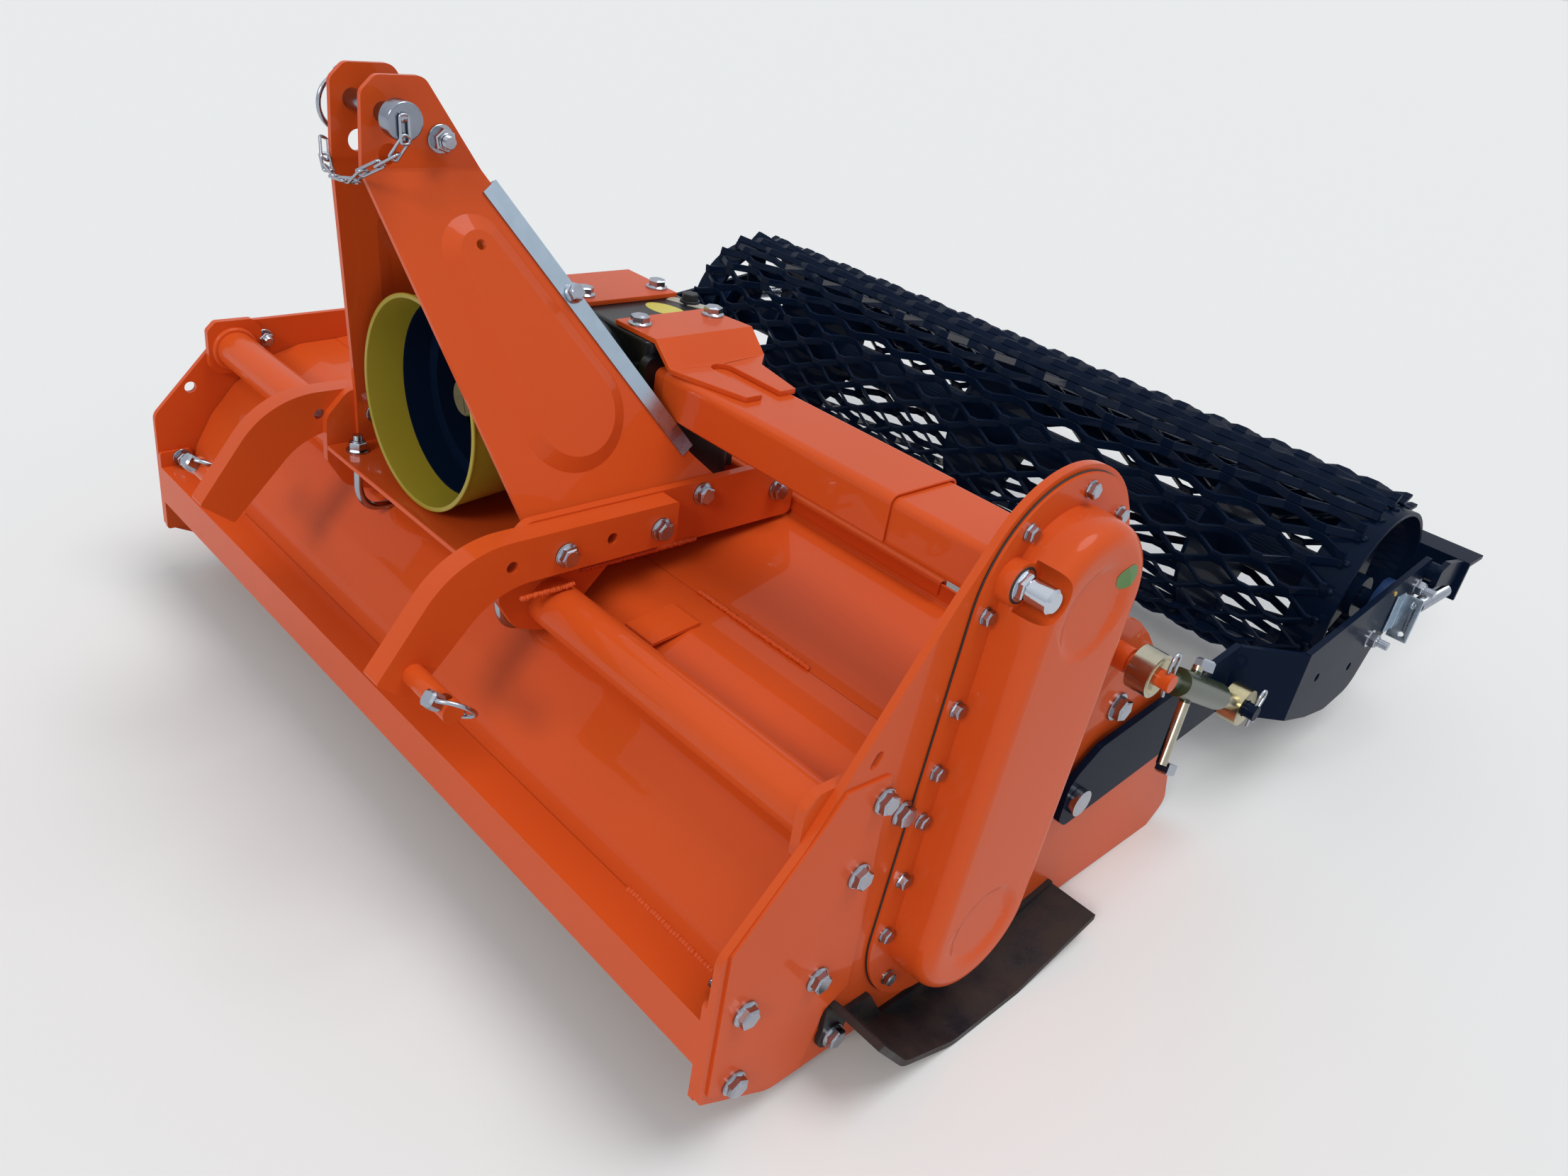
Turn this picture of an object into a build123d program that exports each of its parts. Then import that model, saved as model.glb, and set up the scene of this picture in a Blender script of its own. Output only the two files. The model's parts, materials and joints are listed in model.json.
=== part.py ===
# Stone burier for a compact tractor, category 1 hitch, chain side drive and mesh roller
# Sizes in mm. Tables give Y back from the beam's front face and Z up from the side plates' lower edge
# +X is the chain case side, +Y is the roller, the headstock looks to -Y
# The machine parks on its skids and the side plates' rear corners, pitched back a little, and is stored so
import math
import os
from build123d import *

os.makedirs("parts", exist_ok=True)

# Driving dimensions
ORIGIN_Y = 640.826
HALF_WIDTH = 610.0
PLATE_T = 8.0
INNER = HALF_WIDTH - PLATE_T
SHEET_T = 4.0
ROTOR_Y = 308.0
ROTOR_Z = 126.0
ROTOR_R = 138.0
CASE_TOP_Y = 336.0
CASE_TOP_Z = 474.0
CASE_FLANGE_R = 111.0
CASE_DOME_R = 82.0
CASE_DEPTH = 48.0
CASE_T = 3.0
CASE_EDGE_R = 18.0
CASE_DRAFT = 4.0
TUBE_Y = 112.0
TUBE_Z = 306.0
TUBE_R = 26.0
PTO_Z = 454.0
PTO_R = 17.5
BOX_FRONT = 290.0
BOX_TOP = 527.0
BRIDGE_T = 6.0
HOUSING_TOP = 500.0
COVER_T = 3.0
MEMBER_X = 180.0
MEMBER_T = 10.0
ARM_T = 26.0
LINK_PIN_Y = -54.0
LINK_PIN_Z = 287.0
LINK_PIN_R = 11.0
TOP_PIN_Y = 17.0
TOP_PIN_Z = 747.0
TOP_PIN_R = 9.5
ROLLER_Y = 1128.0
ROLLER_Z = 255.0
RING_R = 132.0
PIVOT_Y = 500.0
PIVOT_Z = 172.0
ROLLER_ARM_X = HALF_WIDTH + 5.0
ROLLER_ARM_T = 8.0
ROLLER_ARM_OUT = ROLLER_ARM_X + 61.0
ROLLER_HALF = ROLLER_ARM_OUT - 24.0
SCREW_X = HALF_WIDTH + 40.0
SCREW_FRONT = (505.0, 352.0)
SCREW_REAR = (786.0, 209.0)
BEAM_Y = 1292.0
BEAM_REACH = ROLLER_ARM_OUT + 36.0
BRACKET_Y = 1146.0
PIN_FIT = 0.05
EYE_R = 11.0
SKID_HEEL = (400.0, -12.0)
PLATE_HEEL = (756.0, 5.0)

# Parking pitch, from the skid's heel and the side plate's, and the floor's height below the machine's origin
PITCH = math.atan2(PLATE_HEEL[1] - SKID_HEEL[1], PLATE_HEEL[0] - SKID_HEEL[0])
COS = math.cos(PITCH)
SIN = math.sin(PITCH)
FLOOR_Z = SKID_HEEL[0] * SIN - SKID_HEEL[1] * COS


# Helpers
def turned(x, y, z):
    return Vector(x, y * COS + z * SIN, z * COS - y * SIN)


def at(x, y, z):
    return turned(x, y, z) + Vector(0, -ORIGIN_Y, FLOOR_Z)


BACK = turned(0, 1, 0)
UP = turned(0, 0, 1)


def side_plane(x):
    return Plane(origin=at(x, 0, 0), x_dir=BACK, z_dir=(1, 0, 0))


def front_plane(y):
    return Plane(origin=at(0, y, 0), x_dir=(1, 0, 0), z_dir=-BACK)


def top_plane(z):
    return Plane(origin=at(0, 0, z), x_dir=(1, 0, 0), z_dir=UP)


def slab(points, x, thick, mode=Mode.ADD):
    with BuildSketch(side_plane(x)) as outline:
        Polygon(*points, align=None)
    extrude(outline.sketch, amount=thick, dir=(1, 0, 0), mode=mode)


def rounded(points, radii, x, thick, mode=Mode.ADD):
    with BuildSketch(side_plane(x)) as outline:
        with BuildLine():
            FilletPolyline(*points, radius=radii, close=True)
        make_face()
    extrude(outline.sketch, amount=thick, dir=(1, 0, 0), mode=mode)


def turned_ring(profile):
    with BuildSketch(side_plane(0)) as section:
        Polygon(*[(y, PTO_Z + r) for y, r in profile], align=None)
    revolve(section.sketch, axis=Axis(at(0, 0, PTO_Z), BACK))


def rod_x(y, z, x0, x1, r, mode=Mode.ADD):
    with BuildSketch(side_plane(x0)) as outline:
        with Locations((y, z)):
            Circle(r)
    extrude(outline.sketch, amount=x1 - x0, dir=(1, 0, 0), mode=mode)


def rod_y(x, z, y0, y1, r, mode=Mode.ADD):
    with BuildSketch(front_plane(y0)) as outline:
        with Locations((x, z)):
            Circle(r)
    extrude(outline.sketch, amount=y1 - y0, dir=BACK, mode=mode)


def rod(a, b, r, mode=Mode.ADD):
    start = at(*a)
    end = at(*b)
    with BuildSketch(Plane(origin=start, z_dir=(end - start))) as outline:
        Circle(r)
    extrude(outline.sketch, amount=(end - start).length, dir=(end - start), mode=mode)


def block(x0, x1, y0, y1, z0, z1, mode=Mode.ADD):
    with BuildSketch(side_plane(x0)) as outline:
        with Locations(((y0 + y1) / 2, (z0 + z1) / 2)):
            Rectangle(y1 - y0, z1 - z0)
    extrude(outline.sketch, amount=x1 - x0, dir=(1, 0, 0), mode=mode)


def offset_line(points, thick):
    moved = []
    for i, (y, z) in enumerate(points):
        normals = []
        for j in (i - 1, i):
            if 0 <= j < len(points) - 1:
                dy = points[j + 1][0] - points[j][0]
                dz = points[j + 1][1] - points[j][1]
                length = math.hypot(dy, dz)
                normals.append((dz / length, -dy / length))
        ny = sum(n[0] for n in normals) / len(normals)
        nz = sum(n[1] for n in normals) / len(normals)
        scale = thick / (ny * ny + nz * nz)
        moved.append((y + ny * scale, z + nz * scale))
    return moved


def sheet(points, thick, x0, x1, bend):
    inner = offset_line(points, thick)
    outer_radii = []
    inner_radii = []
    for a, b, c in zip(points, points[1:], points[2:]):
        turn = (b[0] - a[0]) * (c[1] - b[1]) - (b[1] - a[1]) * (c[0] - b[0])
        outer_radii.append(bend if turn > 0 else bend + thick)
        inner_radii.append(bend + thick if turn > 0 else bend)
    with BuildSketch(side_plane(x0)) as section:
        with BuildLine():
            FilletPolyline(*points, radius=outer_radii)
            Line(points[-1], inner[-1])
            FilletPolyline(*inner, radius=inner_radii)
            Line(inner[0], points[0])
        make_face()
    extrude(section.sketch, amount=x1 - x0, dir=(1, 0, 0))


def arc(cy, cz, r, start, end, steps):
    out = []
    for i in range(steps + 1):
        a = math.radians(start + (end - start) * i / steps)
        out.append((cy + r * math.cos(a), cz + r * math.sin(a)))
    return out


# Chain case outline, a slot round the rotor shaft below and the drive shaft above
CASE_SPAN = math.hypot(CASE_TOP_Z - ROTOR_Z, CASE_TOP_Y - ROTOR_Y)
LEAN = math.degrees(math.atan2(CASE_TOP_Z - ROTOR_Z, CASE_TOP_Y - ROTOR_Y))


def case_slot(r, x, thick, mode=Mode.ADD, taper=0):
    with BuildSketch(side_plane(x)) as outline:
        with Locations(((CASE_TOP_Y + ROTOR_Y) / 2, (CASE_TOP_Z + ROTOR_Z) / 2)):
            SlotCenterToCenter(CASE_SPAN, 2 * r, rotation=LEAN)
    extrude(outline.sketch, amount=thick, taper=taper, mode=mode)


# Front beam, an angle section with bolted end tabs
with BuildPart() as front_beam:
    block(-INNER + 6, INNER - 6, 0, 5, 89, 143)
    block(-INNER + 6, INNER - 6, 5, 43, 138, 143)
    for x0 in (-INNER, INNER - 6):
        rounded([(0, 46), (56, 46), (56, 100), (43, 138), (43, 165), (0, 165)], 4, x0, 6)
front_beam.part.label = "front_beam"
export_step(front_beam.part, "parts/front_beam.step")

# Front cover of the hood, rising under the cross tube and back to the valley bend
HOOD = [(43, 140), (52, 168), (76, 212), (111, 253), (158, 285), (208, 300), (262, 302)]
with BuildPart() as front_cover:
    sheet(HOOD, SHEET_T, -INNER + 1, INNER - 1, 40)
front_cover.part.label = "front_cover"
export_step(front_cover.part, "parts/front_cover.step")

# Rear deck with its upright lip
DECK = [(262.5, 302), (455, 326), (456, 347)]
with BuildPart() as rear_deck:
    sheet(DECK, SHEET_T, -INNER + 1, INNER - 1, 6)
rear_deck.part.label = "rear_deck"
export_step(rear_deck.part, "parts/rear_deck.step")

# Cap strip folded over the lip in the middle
with BuildPart() as lip_cap:
    sheet([(451.8, 334), (452, 352), (466, 352), (467, 334)], 3, -420, 420, 3)
lip_cap.part.label = "lip_cap"
export_step(lip_cap.part, "parts/lip_cap.step")

# Cross tube with end flanges
with BuildPart() as cross_tube:
    rod_x(TUBE_Y, TUBE_Z, -INNER, INNER, TUBE_R)
    rod_x(TUBE_Y, TUBE_Z, -INNER, INNER, TUBE_R - 5, Mode.SUBTRACT)
    flange = [(76, 284), (88, 272), (120, 272), (150, 300), (150, 335), (138, 347), (88, 347), (76, 335)]
    for x0 in (-INNER, INNER - 10):
        rounded(flange, 8, x0, 10)
cross_tube.part.label = "cross_tube"
export_step(cross_tube.part, "parts/cross_tube.step")

# Side plate on the chain case side, round over the upper sprocket
HEEL = [(694, 224), (764, 86), (787, 31), PLATE_HEEL, (567, 0), (92, 0)]
NEAR = [(0, 49), (0, 219), (75, 300), (114, 356), (205, 493), (246, 549), (336, 474), (452, 458), (462, 410)]
NEAR += [(540, 378), (572, 352)] + HEEL
NEAR_RADII = [8, 20, 20, 0, 0, 0, 0, 0, 30, 30, 20, 40, 60, 20, 0, 0, 40]
CASE_RIM_R = CASE_FLANGE_R + 6
# A doubler plate lies on the outside of its front edge, with one free bolt slot above it
DOUBLER = [(8, 56), (8, 224), (81, 305), (113, 345), (168, 341), (168, 293), (174, 196), (176, 86)]
DOUBLER += [(148, 72), (130, 8), (92, 8)]
DOUBLER_T = 2.5
PLATE_SLOT = (144.0, 364.0)
with BuildPart() as side_plate_chain:
    rounded(NEAR, NEAR_RADII, INNER, PLATE_T)
    rounded(DOUBLER, 4, HALF_WIDTH, DOUBLER_T)
    with BuildSketch(side_plane(INNER - 1)) as free_slot:
        with Locations(PLATE_SLOT):
            SlotOverall(18, 10, rotation=60)
    extrude(free_slot.sketch, amount=PLATE_T + 2, dir=(1, 0, 0), mode=Mode.SUBTRACT)
    rod_x(CASE_TOP_Y, CASE_TOP_Z, INNER, HALF_WIDTH, CASE_RIM_R)
    rod_x(ROTOR_Y, ROTOR_Z, INNER, HALF_WIDTH, 52, Mode.SUBTRACT)
    rod_x(CASE_TOP_Y, CASE_TOP_Z, INNER, HALF_WIDTH, 20, Mode.SUBTRACT)
side_plate_chain.part.label = "side_plate_chain"
export_step(side_plate_chain.part, "parts/side_plate_chain.step")

# Side plate on the far side
FAR = [(0, 49), (0, 219), (75, 300), (113, 341), (380, 345), (430, 380), (540, 382), (572, 352)] + HEEL
FAR_RADII = [8, 20, 20, 10, 40, 40, 20, 20, 40, 60, 20, 0, 0, 40]
FAR_HOLE = (51.0, 254.0)
with BuildPart() as side_plate_far:
    rounded(FAR, FAR_RADII, -HALF_WIDTH, PLATE_T)
    rod_x(ROTOR_Y, ROTOR_Z, -HALF_WIDTH, -INNER, 52, Mode.SUBTRACT)
    rod_x(FAR_HOLE[0], FAR_HOLE[1], -HALF_WIDTH - 1, -INNER + 1, 8, Mode.SUBTRACT)
side_plate_far.part.label = "side_plate_far"
export_step(side_plate_far.part, "parts/side_plate_far.step")

# Headstock base floor between the side members
with BuildPart() as headstock_base:
    block(-MEMBER_X, MEMBER_X, 52, 440, 332, 338)
headstock_base.part.label = "headstock_base"
export_step(headstock_base.part, "parts/headstock_base.step")

# Side members with the lobe round the cross tube
MEMBER = [(52, 318), (52, 372), (80, 402), (448, 402), (448, 332), (186, 332), (140, 286), (114, 268)]
MEMBER += [(72, 284)]
MEMBER_RADII = [8, 20, 20, 8, 8, 14, 20, 36, 20]
with BuildPart() as side_member_left:
    rounded(MEMBER, MEMBER_RADII, MEMBER_X, MEMBER_T)
    rod_x(TUBE_Y, TUBE_Z, MEMBER_X, MEMBER_X + MEMBER_T, TUBE_R, Mode.SUBTRACT)
side_member_left.part.label = "side_member_left"
export_step(side_member_left.part, "parts/side_member_left.step")

with BuildPart() as side_member_right:
    rounded(MEMBER, MEMBER_RADII, -MEMBER_X - MEMBER_T, MEMBER_T)
    rod_x(TUBE_Y, TUBE_Z, -MEMBER_X - MEMBER_T, -MEMBER_X, TUBE_R, Mode.SUBTRACT)
side_member_right.part.label = "side_member_right"
export_step(side_member_right.part, "parts/side_member_right.step")

# Headstock plates, bent from sheet: upright at the top, flared below, with a raised teardrop panel
BEND_Z = 697.0
FLARE_Z = 390.0
HEAD_TOP = 778.0
TOP_X = 32.0
HEAD_T = 6.0
BEND_R = 10.0
PANEL_RISE = 8.0
PANEL_SLOPE = 16.0
FLARE = math.atan2(MEMBER_X - TOP_X, BEND_Z - FLARE_Z)
# Panel circles on the flared face: distance back, distance down the slope, radius
PANEL_TOP = (93.0, -76.0, 36.0)
PANEL_LOW = (164.0, -236.0, 63.0)
PANEL_HOLE = (95.0, -70.0)
HEAD_SIDE = [(-4, 764), (10, HEAD_TOP), (56, HEAD_TOP), (115, BEND_Z), (304, 424)]
HEAD_SIDE += [(340, FLARE_Z), (345, 338), (88, 338), (86, FLARE_Z), (-4, BEND_Z)]


def flare_plane(sign, out):
    normal = turned(sign * math.cos(FLARE), 0, math.sin(FLARE))
    return Plane(origin=at(sign * TOP_X, 0, BEND_Z) + normal * out, x_dir=BACK * sign, z_dir=normal)


def teardrop(sign, out, inset):
    y1, s1, r1 = PANEL_TOP
    y2, s2, r2 = PANEL_LOW
    lean = math.atan2(s2 - s1, y2 - y1)
    spread = math.acos((r1 - r2) / math.hypot(y2 - y1, s2 - s1))

    def on(y, s, r, angle):
        return (sign * (y + (r - inset) * math.cos(angle)), s + (r - inset) * math.sin(angle))

    top = [on(y1, s1, r1, a) for a in (lean - spread, lean + math.pi, lean + spread)]
    low = [on(y2, s2, r2, a) for a in (lean + spread, lean, lean - spread)]
    with BuildSketch(flare_plane(sign, out)) as drop:
        with BuildLine():
            Line(top[2], low[0])
            ThreePointArc(*low)
            Line(low[2], top[0])
            ThreePointArc(*top)
        make_face()
    return drop.sketch


def headstock_plate(sign):
    outer = [(TOP_X, HEAD_TOP), (TOP_X, BEND_Z), (MEMBER_X, FLARE_Z), (MEMBER_X, 338)]
    shift = HEAD_T * math.tan(FLARE / 2)
    inner = [(x - HEAD_T, z - shift * bent) for (x, z), bent in zip(outer, (0, 1, 1, 0))]
    with BuildSketch(front_plane(-10)) as section:
        with BuildLine():
            FilletPolyline(*[(sign * x, z) for x, z in outer], radius=[BEND_R, BEND_R + HEAD_T])
            Line((sign * outer[-1][0], outer[-1][1]), (sign * inner[-1][0], inner[-1][1]))
            FilletPolyline(*[(sign * x, z) for x, z in inner], radius=[BEND_R + HEAD_T, BEND_R])
            Line((sign * inner[0][0], inner[0][1]), (sign * outer[0][0], outer[0][1]))
        make_face()
    extrude(section.sketch, amount=370, dir=BACK)
    rounded(HEAD_SIDE, [10, 10, 14, 30, 6, 6, 0, 0, 6, 30], -MEMBER_X - 1, 2 * MEMBER_X + 2, Mode.INTERSECT)
    for sunk, mode in ((0, Mode.ADD), (HEAD_T, Mode.SUBTRACT)):
        foot = teardrop(sign, -sunk, 0)
        crown = teardrop(sign, PANEL_RISE - sunk, PANEL_SLOPE)
        loft([foot, crown], ruled=True, mode=mode)
    with BuildSketch(flare_plane(sign, PANEL_RISE + 1)) as hole:
        with Locations((sign * PANEL_HOLE[0], PANEL_HOLE[1])):
            Circle(5)
    extrude(hole.sketch, amount=-HEAD_T - 2, mode=Mode.SUBTRACT)
    x0 = TOP_X - HEAD_T if sign > 0 else -TOP_X
    rod_x(TOP_PIN_Y, TOP_PIN_Z, x0 - 1, x0 + HEAD_T + 1, TOP_PIN_R, Mode.SUBTRACT)
    rod_x(22, 711, x0 - 1, x0 + HEAD_T + 1, 10, Mode.SUBTRACT)


with BuildPart() as headstock_plate_left:
    headstock_plate(1)
headstock_plate_left.part.label = "headstock_plate_left"
export_step(headstock_plate_left.part, "parts/headstock_plate_left.step")

with BuildPart() as headstock_plate_right:
    headstock_plate(-1)
headstock_plate_right.part.label = "headstock_plate_right"
export_step(headstock_plate_right.part, "parts/headstock_plate_right.step")

# Galvanised guard strips on the flared plates' rear edges, with a folded back edge
# Corners on the flared face: distance back, distance down the slope
GUARD = [(112, -21), (128, -10), (307, -295), (291, -304)]
GUARD_FOLD_END = (245, -196)
GUARD_T = 2.0
GUARD_FOLD = 12.0


def headstock_guard(sign):
    back_edge = [GUARD[1], GUARD_FOLD_END]
    back_edge += [(y - 1.7, s - 1) for y, s in (GUARD_FOLD_END, GUARD[1])]
    for points, out, depth in ((GUARD, 0, GUARD_T), (back_edge, 0, -GUARD_FOLD)):
        with BuildSketch(flare_plane(sign, out)) as strip:
            Polygon(*[(sign * y, s) for y, s in points], align=None)
        extrude(strip.sketch, amount=depth)


with BuildPart() as headstock_guard_left:
    headstock_guard(1)
headstock_guard_left.part.label = "headstock_guard_left"
export_step(headstock_guard_left.part, "parts/headstock_guard_left.step")

with BuildPart() as headstock_guard_right:
    headstock_guard(-1)
headstock_guard_right.part.label = "headstock_guard_right"
export_step(headstock_guard_right.part, "parts/headstock_guard_right.step")

# Spacer tube on the headstock's rear bolt
with BuildPart() as headstock_spacer:
    rod_x(72, 725, -TOP_X + HEAD_T, TOP_X - HEAD_T, 11)
    rod_x(72, 725, -TOP_X + HEAD_T, TOP_X - HEAD_T, 6.5, Mode.SUBTRACT)
headstock_spacer.part.label = "headstock_spacer"
export_step(headstock_spacer.part, "parts/headstock_spacer.step")

# Top link pin with its stepped head
with BuildPart() as top_link_pin:
    rod_x(TOP_PIN_Y, TOP_PIN_Z, -TOP_X - 18, TOP_X + 20, TOP_PIN_R)
    rod_x(TOP_PIN_Y, TOP_PIN_Z, TOP_X + 20, TOP_X + 24, 13)
    rod_x(TOP_PIN_Y, TOP_PIN_Z, TOP_X + 24, TOP_X + 40, 17)
    chamfer(top_link_pin.edges().filter_by(GeomType.CIRCLE).group_by(Axis.X)[0], 2)
    fillet(top_link_pin.edges().filter_by(GeomType.CIRCLE).group_by(Axis.X)[-1], 2)
top_link_pin.part.label = "top_link_pin"
export_step(top_link_pin.part, "parts/top_link_pin.step")

# Lower link arms with their bend, and their pins
ARM = [(-91, 286), (-8, 400), (250, 400), (250, 352), (33, 352), (-55, 257)]
ARM_RADII = [3, 110, 3, 3, 90, 3]
# Free adjustment holes in the arms
ARM_HOLES = ((166, 376), (49, 373))
SHANK_R = 9.0
PIN_START = MEMBER_X + MEMBER_T + ARM_T
PIN_END = PIN_START + 73


def lynch_hole(x):
    rod((x, LINK_PIN_Y, LINK_PIN_Z - 12), (x, LINK_PIN_Y, LINK_PIN_Z + 12), 5.5, Mode.SUBTRACT)


with BuildPart() as link_arm_left:
    rounded(ARM, ARM_RADII, MEMBER_X + MEMBER_T, ARM_T)
    rod_x(LINK_PIN_Y, LINK_PIN_Z, MEMBER_X + MEMBER_T, PIN_START, SHANK_R, Mode.SUBTRACT)
    for y, z in ARM_HOLES:
        rod_x(y, z, MEMBER_X + MEMBER_T, PIN_START, 6.5, Mode.SUBTRACT)
link_arm_left.part.label = "link_arm_left"
export_step(link_arm_left.part, "parts/link_arm_left.step")

with BuildPart() as link_arm_right:
    rounded(ARM, ARM_RADII, -PIN_START, ARM_T)
    rod_x(LINK_PIN_Y, LINK_PIN_Z, -PIN_START, -MEMBER_X - MEMBER_T, SHANK_R, Mode.SUBTRACT)
    for y, z in ARM_HOLES:
        rod_x(y, z, -PIN_START, -MEMBER_X - MEMBER_T, 6.5, Mode.SUBTRACT)
link_arm_right.part.label = "link_arm_right"
export_step(link_arm_right.part, "parts/link_arm_right.step")

with BuildPart() as link_pin_left:
    rod_x(LINK_PIN_Y, LINK_PIN_Z, MEMBER_X + MEMBER_T, PIN_START, SHANK_R)
    rod_x(LINK_PIN_Y, LINK_PIN_Z, PIN_START, PIN_END, LINK_PIN_R)
    lynch_hole(PIN_END - 13)
link_pin_left.part.label = "link_pin_left"
export_step(link_pin_left.part, "parts/link_pin_left.step")

with BuildPart() as link_pin_right:
    rod_x(LINK_PIN_Y, LINK_PIN_Z, -PIN_START, -MEMBER_X - MEMBER_T, SHANK_R)
    rod_x(LINK_PIN_Y, LINK_PIN_Z, -PIN_END, -PIN_START, LINK_PIN_R)
    lynch_hole(13 - PIN_END)
link_pin_right.part.label = "link_pin_right"
export_step(link_pin_right.part, "parts/link_pin_right.step")

# Gearbox casting with input collar, side flange and ribs
with BuildPart() as gearbox:
    with BuildSketch(top_plane(338)) as body:
        with Locations((0, BOX_FRONT + 73)):
            RectangleRounded(184, 146, 16)
    extrude(body.sketch, amount=BOX_TOP - 338, dir=UP)
    fillet(gearbox.edges().group_by(Axis(at(0, 0, 0), UP))[-1], 5)
    with BuildSketch(front_plane(BOX_FRONT)) as bell:
        with Locations((0, PTO_Z)):
            Circle(70)
    extrude(bell.sketch, amount=10, dir=-BACK)
    rod_y(0, PTO_Z, BOX_FRONT - 28, BOX_FRONT, 62)
    for x0 in (-84, -30, 22, 76):
        block(x0, x0 + 8, BOX_FRONT - 8, BOX_FRONT + 2, 344, 500)
        block(x0, x0 + 8, BOX_FRONT + 144, BOX_FRONT + 154, 350, 500)
    rod_y(0, 430, BOX_FRONT + 144, BOX_FRONT + 158, 52)
    rounded([(282, 404), (392, 404), (392, 512), (282, 512)], 12, 88, 12)
    rod_y(0, PTO_Z, BOX_FRONT - 28, BOX_FRONT + 30, PTO_R + PIN_FIT, Mode.SUBTRACT)
    rod_x(CASE_TOP_Y, CASE_TOP_Z, 60, 100, 15 + PIN_FIT, Mode.SUBTRACT)
gearbox.part.label = "gearbox"
export_step(gearbox.part, "parts/gearbox.step")

# Drive shaft through the housing to the upper sprocket, and its bearing at the side plate
with BuildPart() as drive_shaft:
    rod_x(CASE_TOP_Y, CASE_TOP_Z, 70, HALF_WIDTH + 34, 15)
    rod_x(CASE_TOP_Y, CASE_TOP_Z, HALF_WIDTH + 22, HALF_WIDTH + 34, 50)
drive_shaft.part.label = "drive_shaft"
export_step(drive_shaft.part, "parts/drive_shaft.step")

with BuildPart() as drive_bearing:
    rod_x(CASE_TOP_Y, CASE_TOP_Z, INNER, HALF_WIDTH, 20)
    rod_x(CASE_TOP_Y, CASE_TOP_Z, HALF_WIDTH, HALF_WIDTH + 8, 40)
    rod_x(CASE_TOP_Y, CASE_TOP_Z, INNER, HALF_WIDTH + 8, 15 + PIN_FIT, Mode.SUBTRACT)
drive_bearing.part.label = "drive_bearing"
export_step(drive_bearing.part, "parts/drive_bearing.step")

# Power take-off shaft stub
with BuildPart() as pto_shaft:
    rod_y(0, PTO_Z, 172, 318, PTO_R)
    chamfer(pto_shaft.edges().filter_by(GeomType.CIRCLE).group_by(Axis.Y)[0], 2)
pto_shaft.part.label = "pto_shaft"
export_step(pto_shaft.part, "parts/pto_shaft.step")

# Power take-off shield, a moulded cone with a lip and a rounded rear wall
SHIELD_REAR = BOX_FRONT - 22


def shield_point(y, r):
    return (y, PTO_Z + r)


with BuildPart() as pto_shield:
    with BuildSketch(side_plane(0)) as shell:
        with BuildLine():
            rim = ((66, 108), (66, 113), (69, 113), (69, 110.7), (250, 95.4))
            lip = [shield_point(y, r) for y, r in rim]
            wall = [shield_point(SHIELD_REAR - y, r) for y, r in ((0, 77), (0, 62), (4, 62), (4, 77))]
            Polyline(*lip)
            ThreePointArc(lip[-1], shield_point(SHIELD_REAR - 5, 89.6), wall[0])
            Polyline(*wall)
            ThreePointArc(wall[-1], shield_point(SHIELD_REAR - 8, 86.6), shield_point(249, 91.4))
            Line(shield_point(249, 91.4), lip[0])
        make_face()
    revolve(shell.sketch, axis=Axis(at(0, 0, PTO_Z), BACK))
pto_shield.part.label = "pto_shield"
export_step(pto_shield.part, "parts/pto_shield.step")

# Black liner in the shield's rear half, and the bearing cap on the gearbox collar
with BuildPart() as pto_inner_ring:
    turned_ring([(165, 94), (165, 98.7), (249, 91.1), (249, 63), (245, 63), (245, 86.9)])
pto_inner_ring.part.label = "pto_inner_ring"
export_step(pto_inner_ring.part, "parts/pto_inner_ring.step")

with BuildPart() as pto_bearing_cap:
    seat = BOX_FRONT - 28
    turned_ring([(234, 40), (234, 54), (240, 60), (seat, 60), (seat, 24), (242, 24), (242, 40)])
pto_bearing_cap.part.label = "pto_bearing_cap"
export_step(pto_bearing_cap.part, "parts/pto_bearing_cap.step")

# Bridge plates on the gearbox top, the left one bent down to two prongs with a slot between them
BRIDGE_TOP = BOX_TOP + BRIDGE_T
SEAT_Z = HOUSING_TOP + COVER_T + 0.5
BRIDGE_SIDE = [(30, BRIDGE_TOP), (100, BRIDGE_TOP), (128, SEAT_Z + BRIDGE_T), (226, SEAT_Z + BRIDGE_T)]
BRIDGE_SIDE += [(226, SEAT_Z), (126, SEAT_Z), (98, BOX_TOP), (30, BOX_TOP)]
BRIDGE_PLAN = [(30, 290), (98, 292), (130, 292), (152, 297), (225, 317), (225, 388), (152, 404), (128, 430)]
BRIDGE_PLAN += [(98, 432), (30, 422)]
SLOT = (146.0, 352.0)
SLOT_R = 13.0
with BuildPart() as gearbox_bridge_left:
    with BuildSketch(front_plane(280)) as section:
        Polygon(*BRIDGE_SIDE, align=None)
    extrude(section.sketch, amount=160, dir=BACK)
    with BuildSketch(top_plane(490)) as plan:
        Polygon(*BRIDGE_PLAN, align=None)
        with Locations(SLOT):
            Circle(SLOT_R, mode=Mode.SUBTRACT)
        with Locations((SLOT[0] + 50, SLOT[1])):
            Rectangle(100, 2 * SLOT_R, mode=Mode.SUBTRACT)
    extrude(plan.sketch, amount=60, dir=UP, mode=Mode.INTERSECT)
gearbox_bridge_left.part.label = "gearbox_bridge_left"
export_step(gearbox_bridge_left.part, "parts/gearbox_bridge_left.step")

with BuildPart() as gearbox_bridge_right:
    block(-128, -30, 296, 426, BOX_TOP, BRIDGE_TOP)
    block(-128, -122, 306, 416, 338, BOX_TOP)
gearbox_bridge_right.part.label = "gearbox_bridge_right"
export_step(gearbox_bridge_right.part, "parts/gearbox_bridge_right.step")

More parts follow.
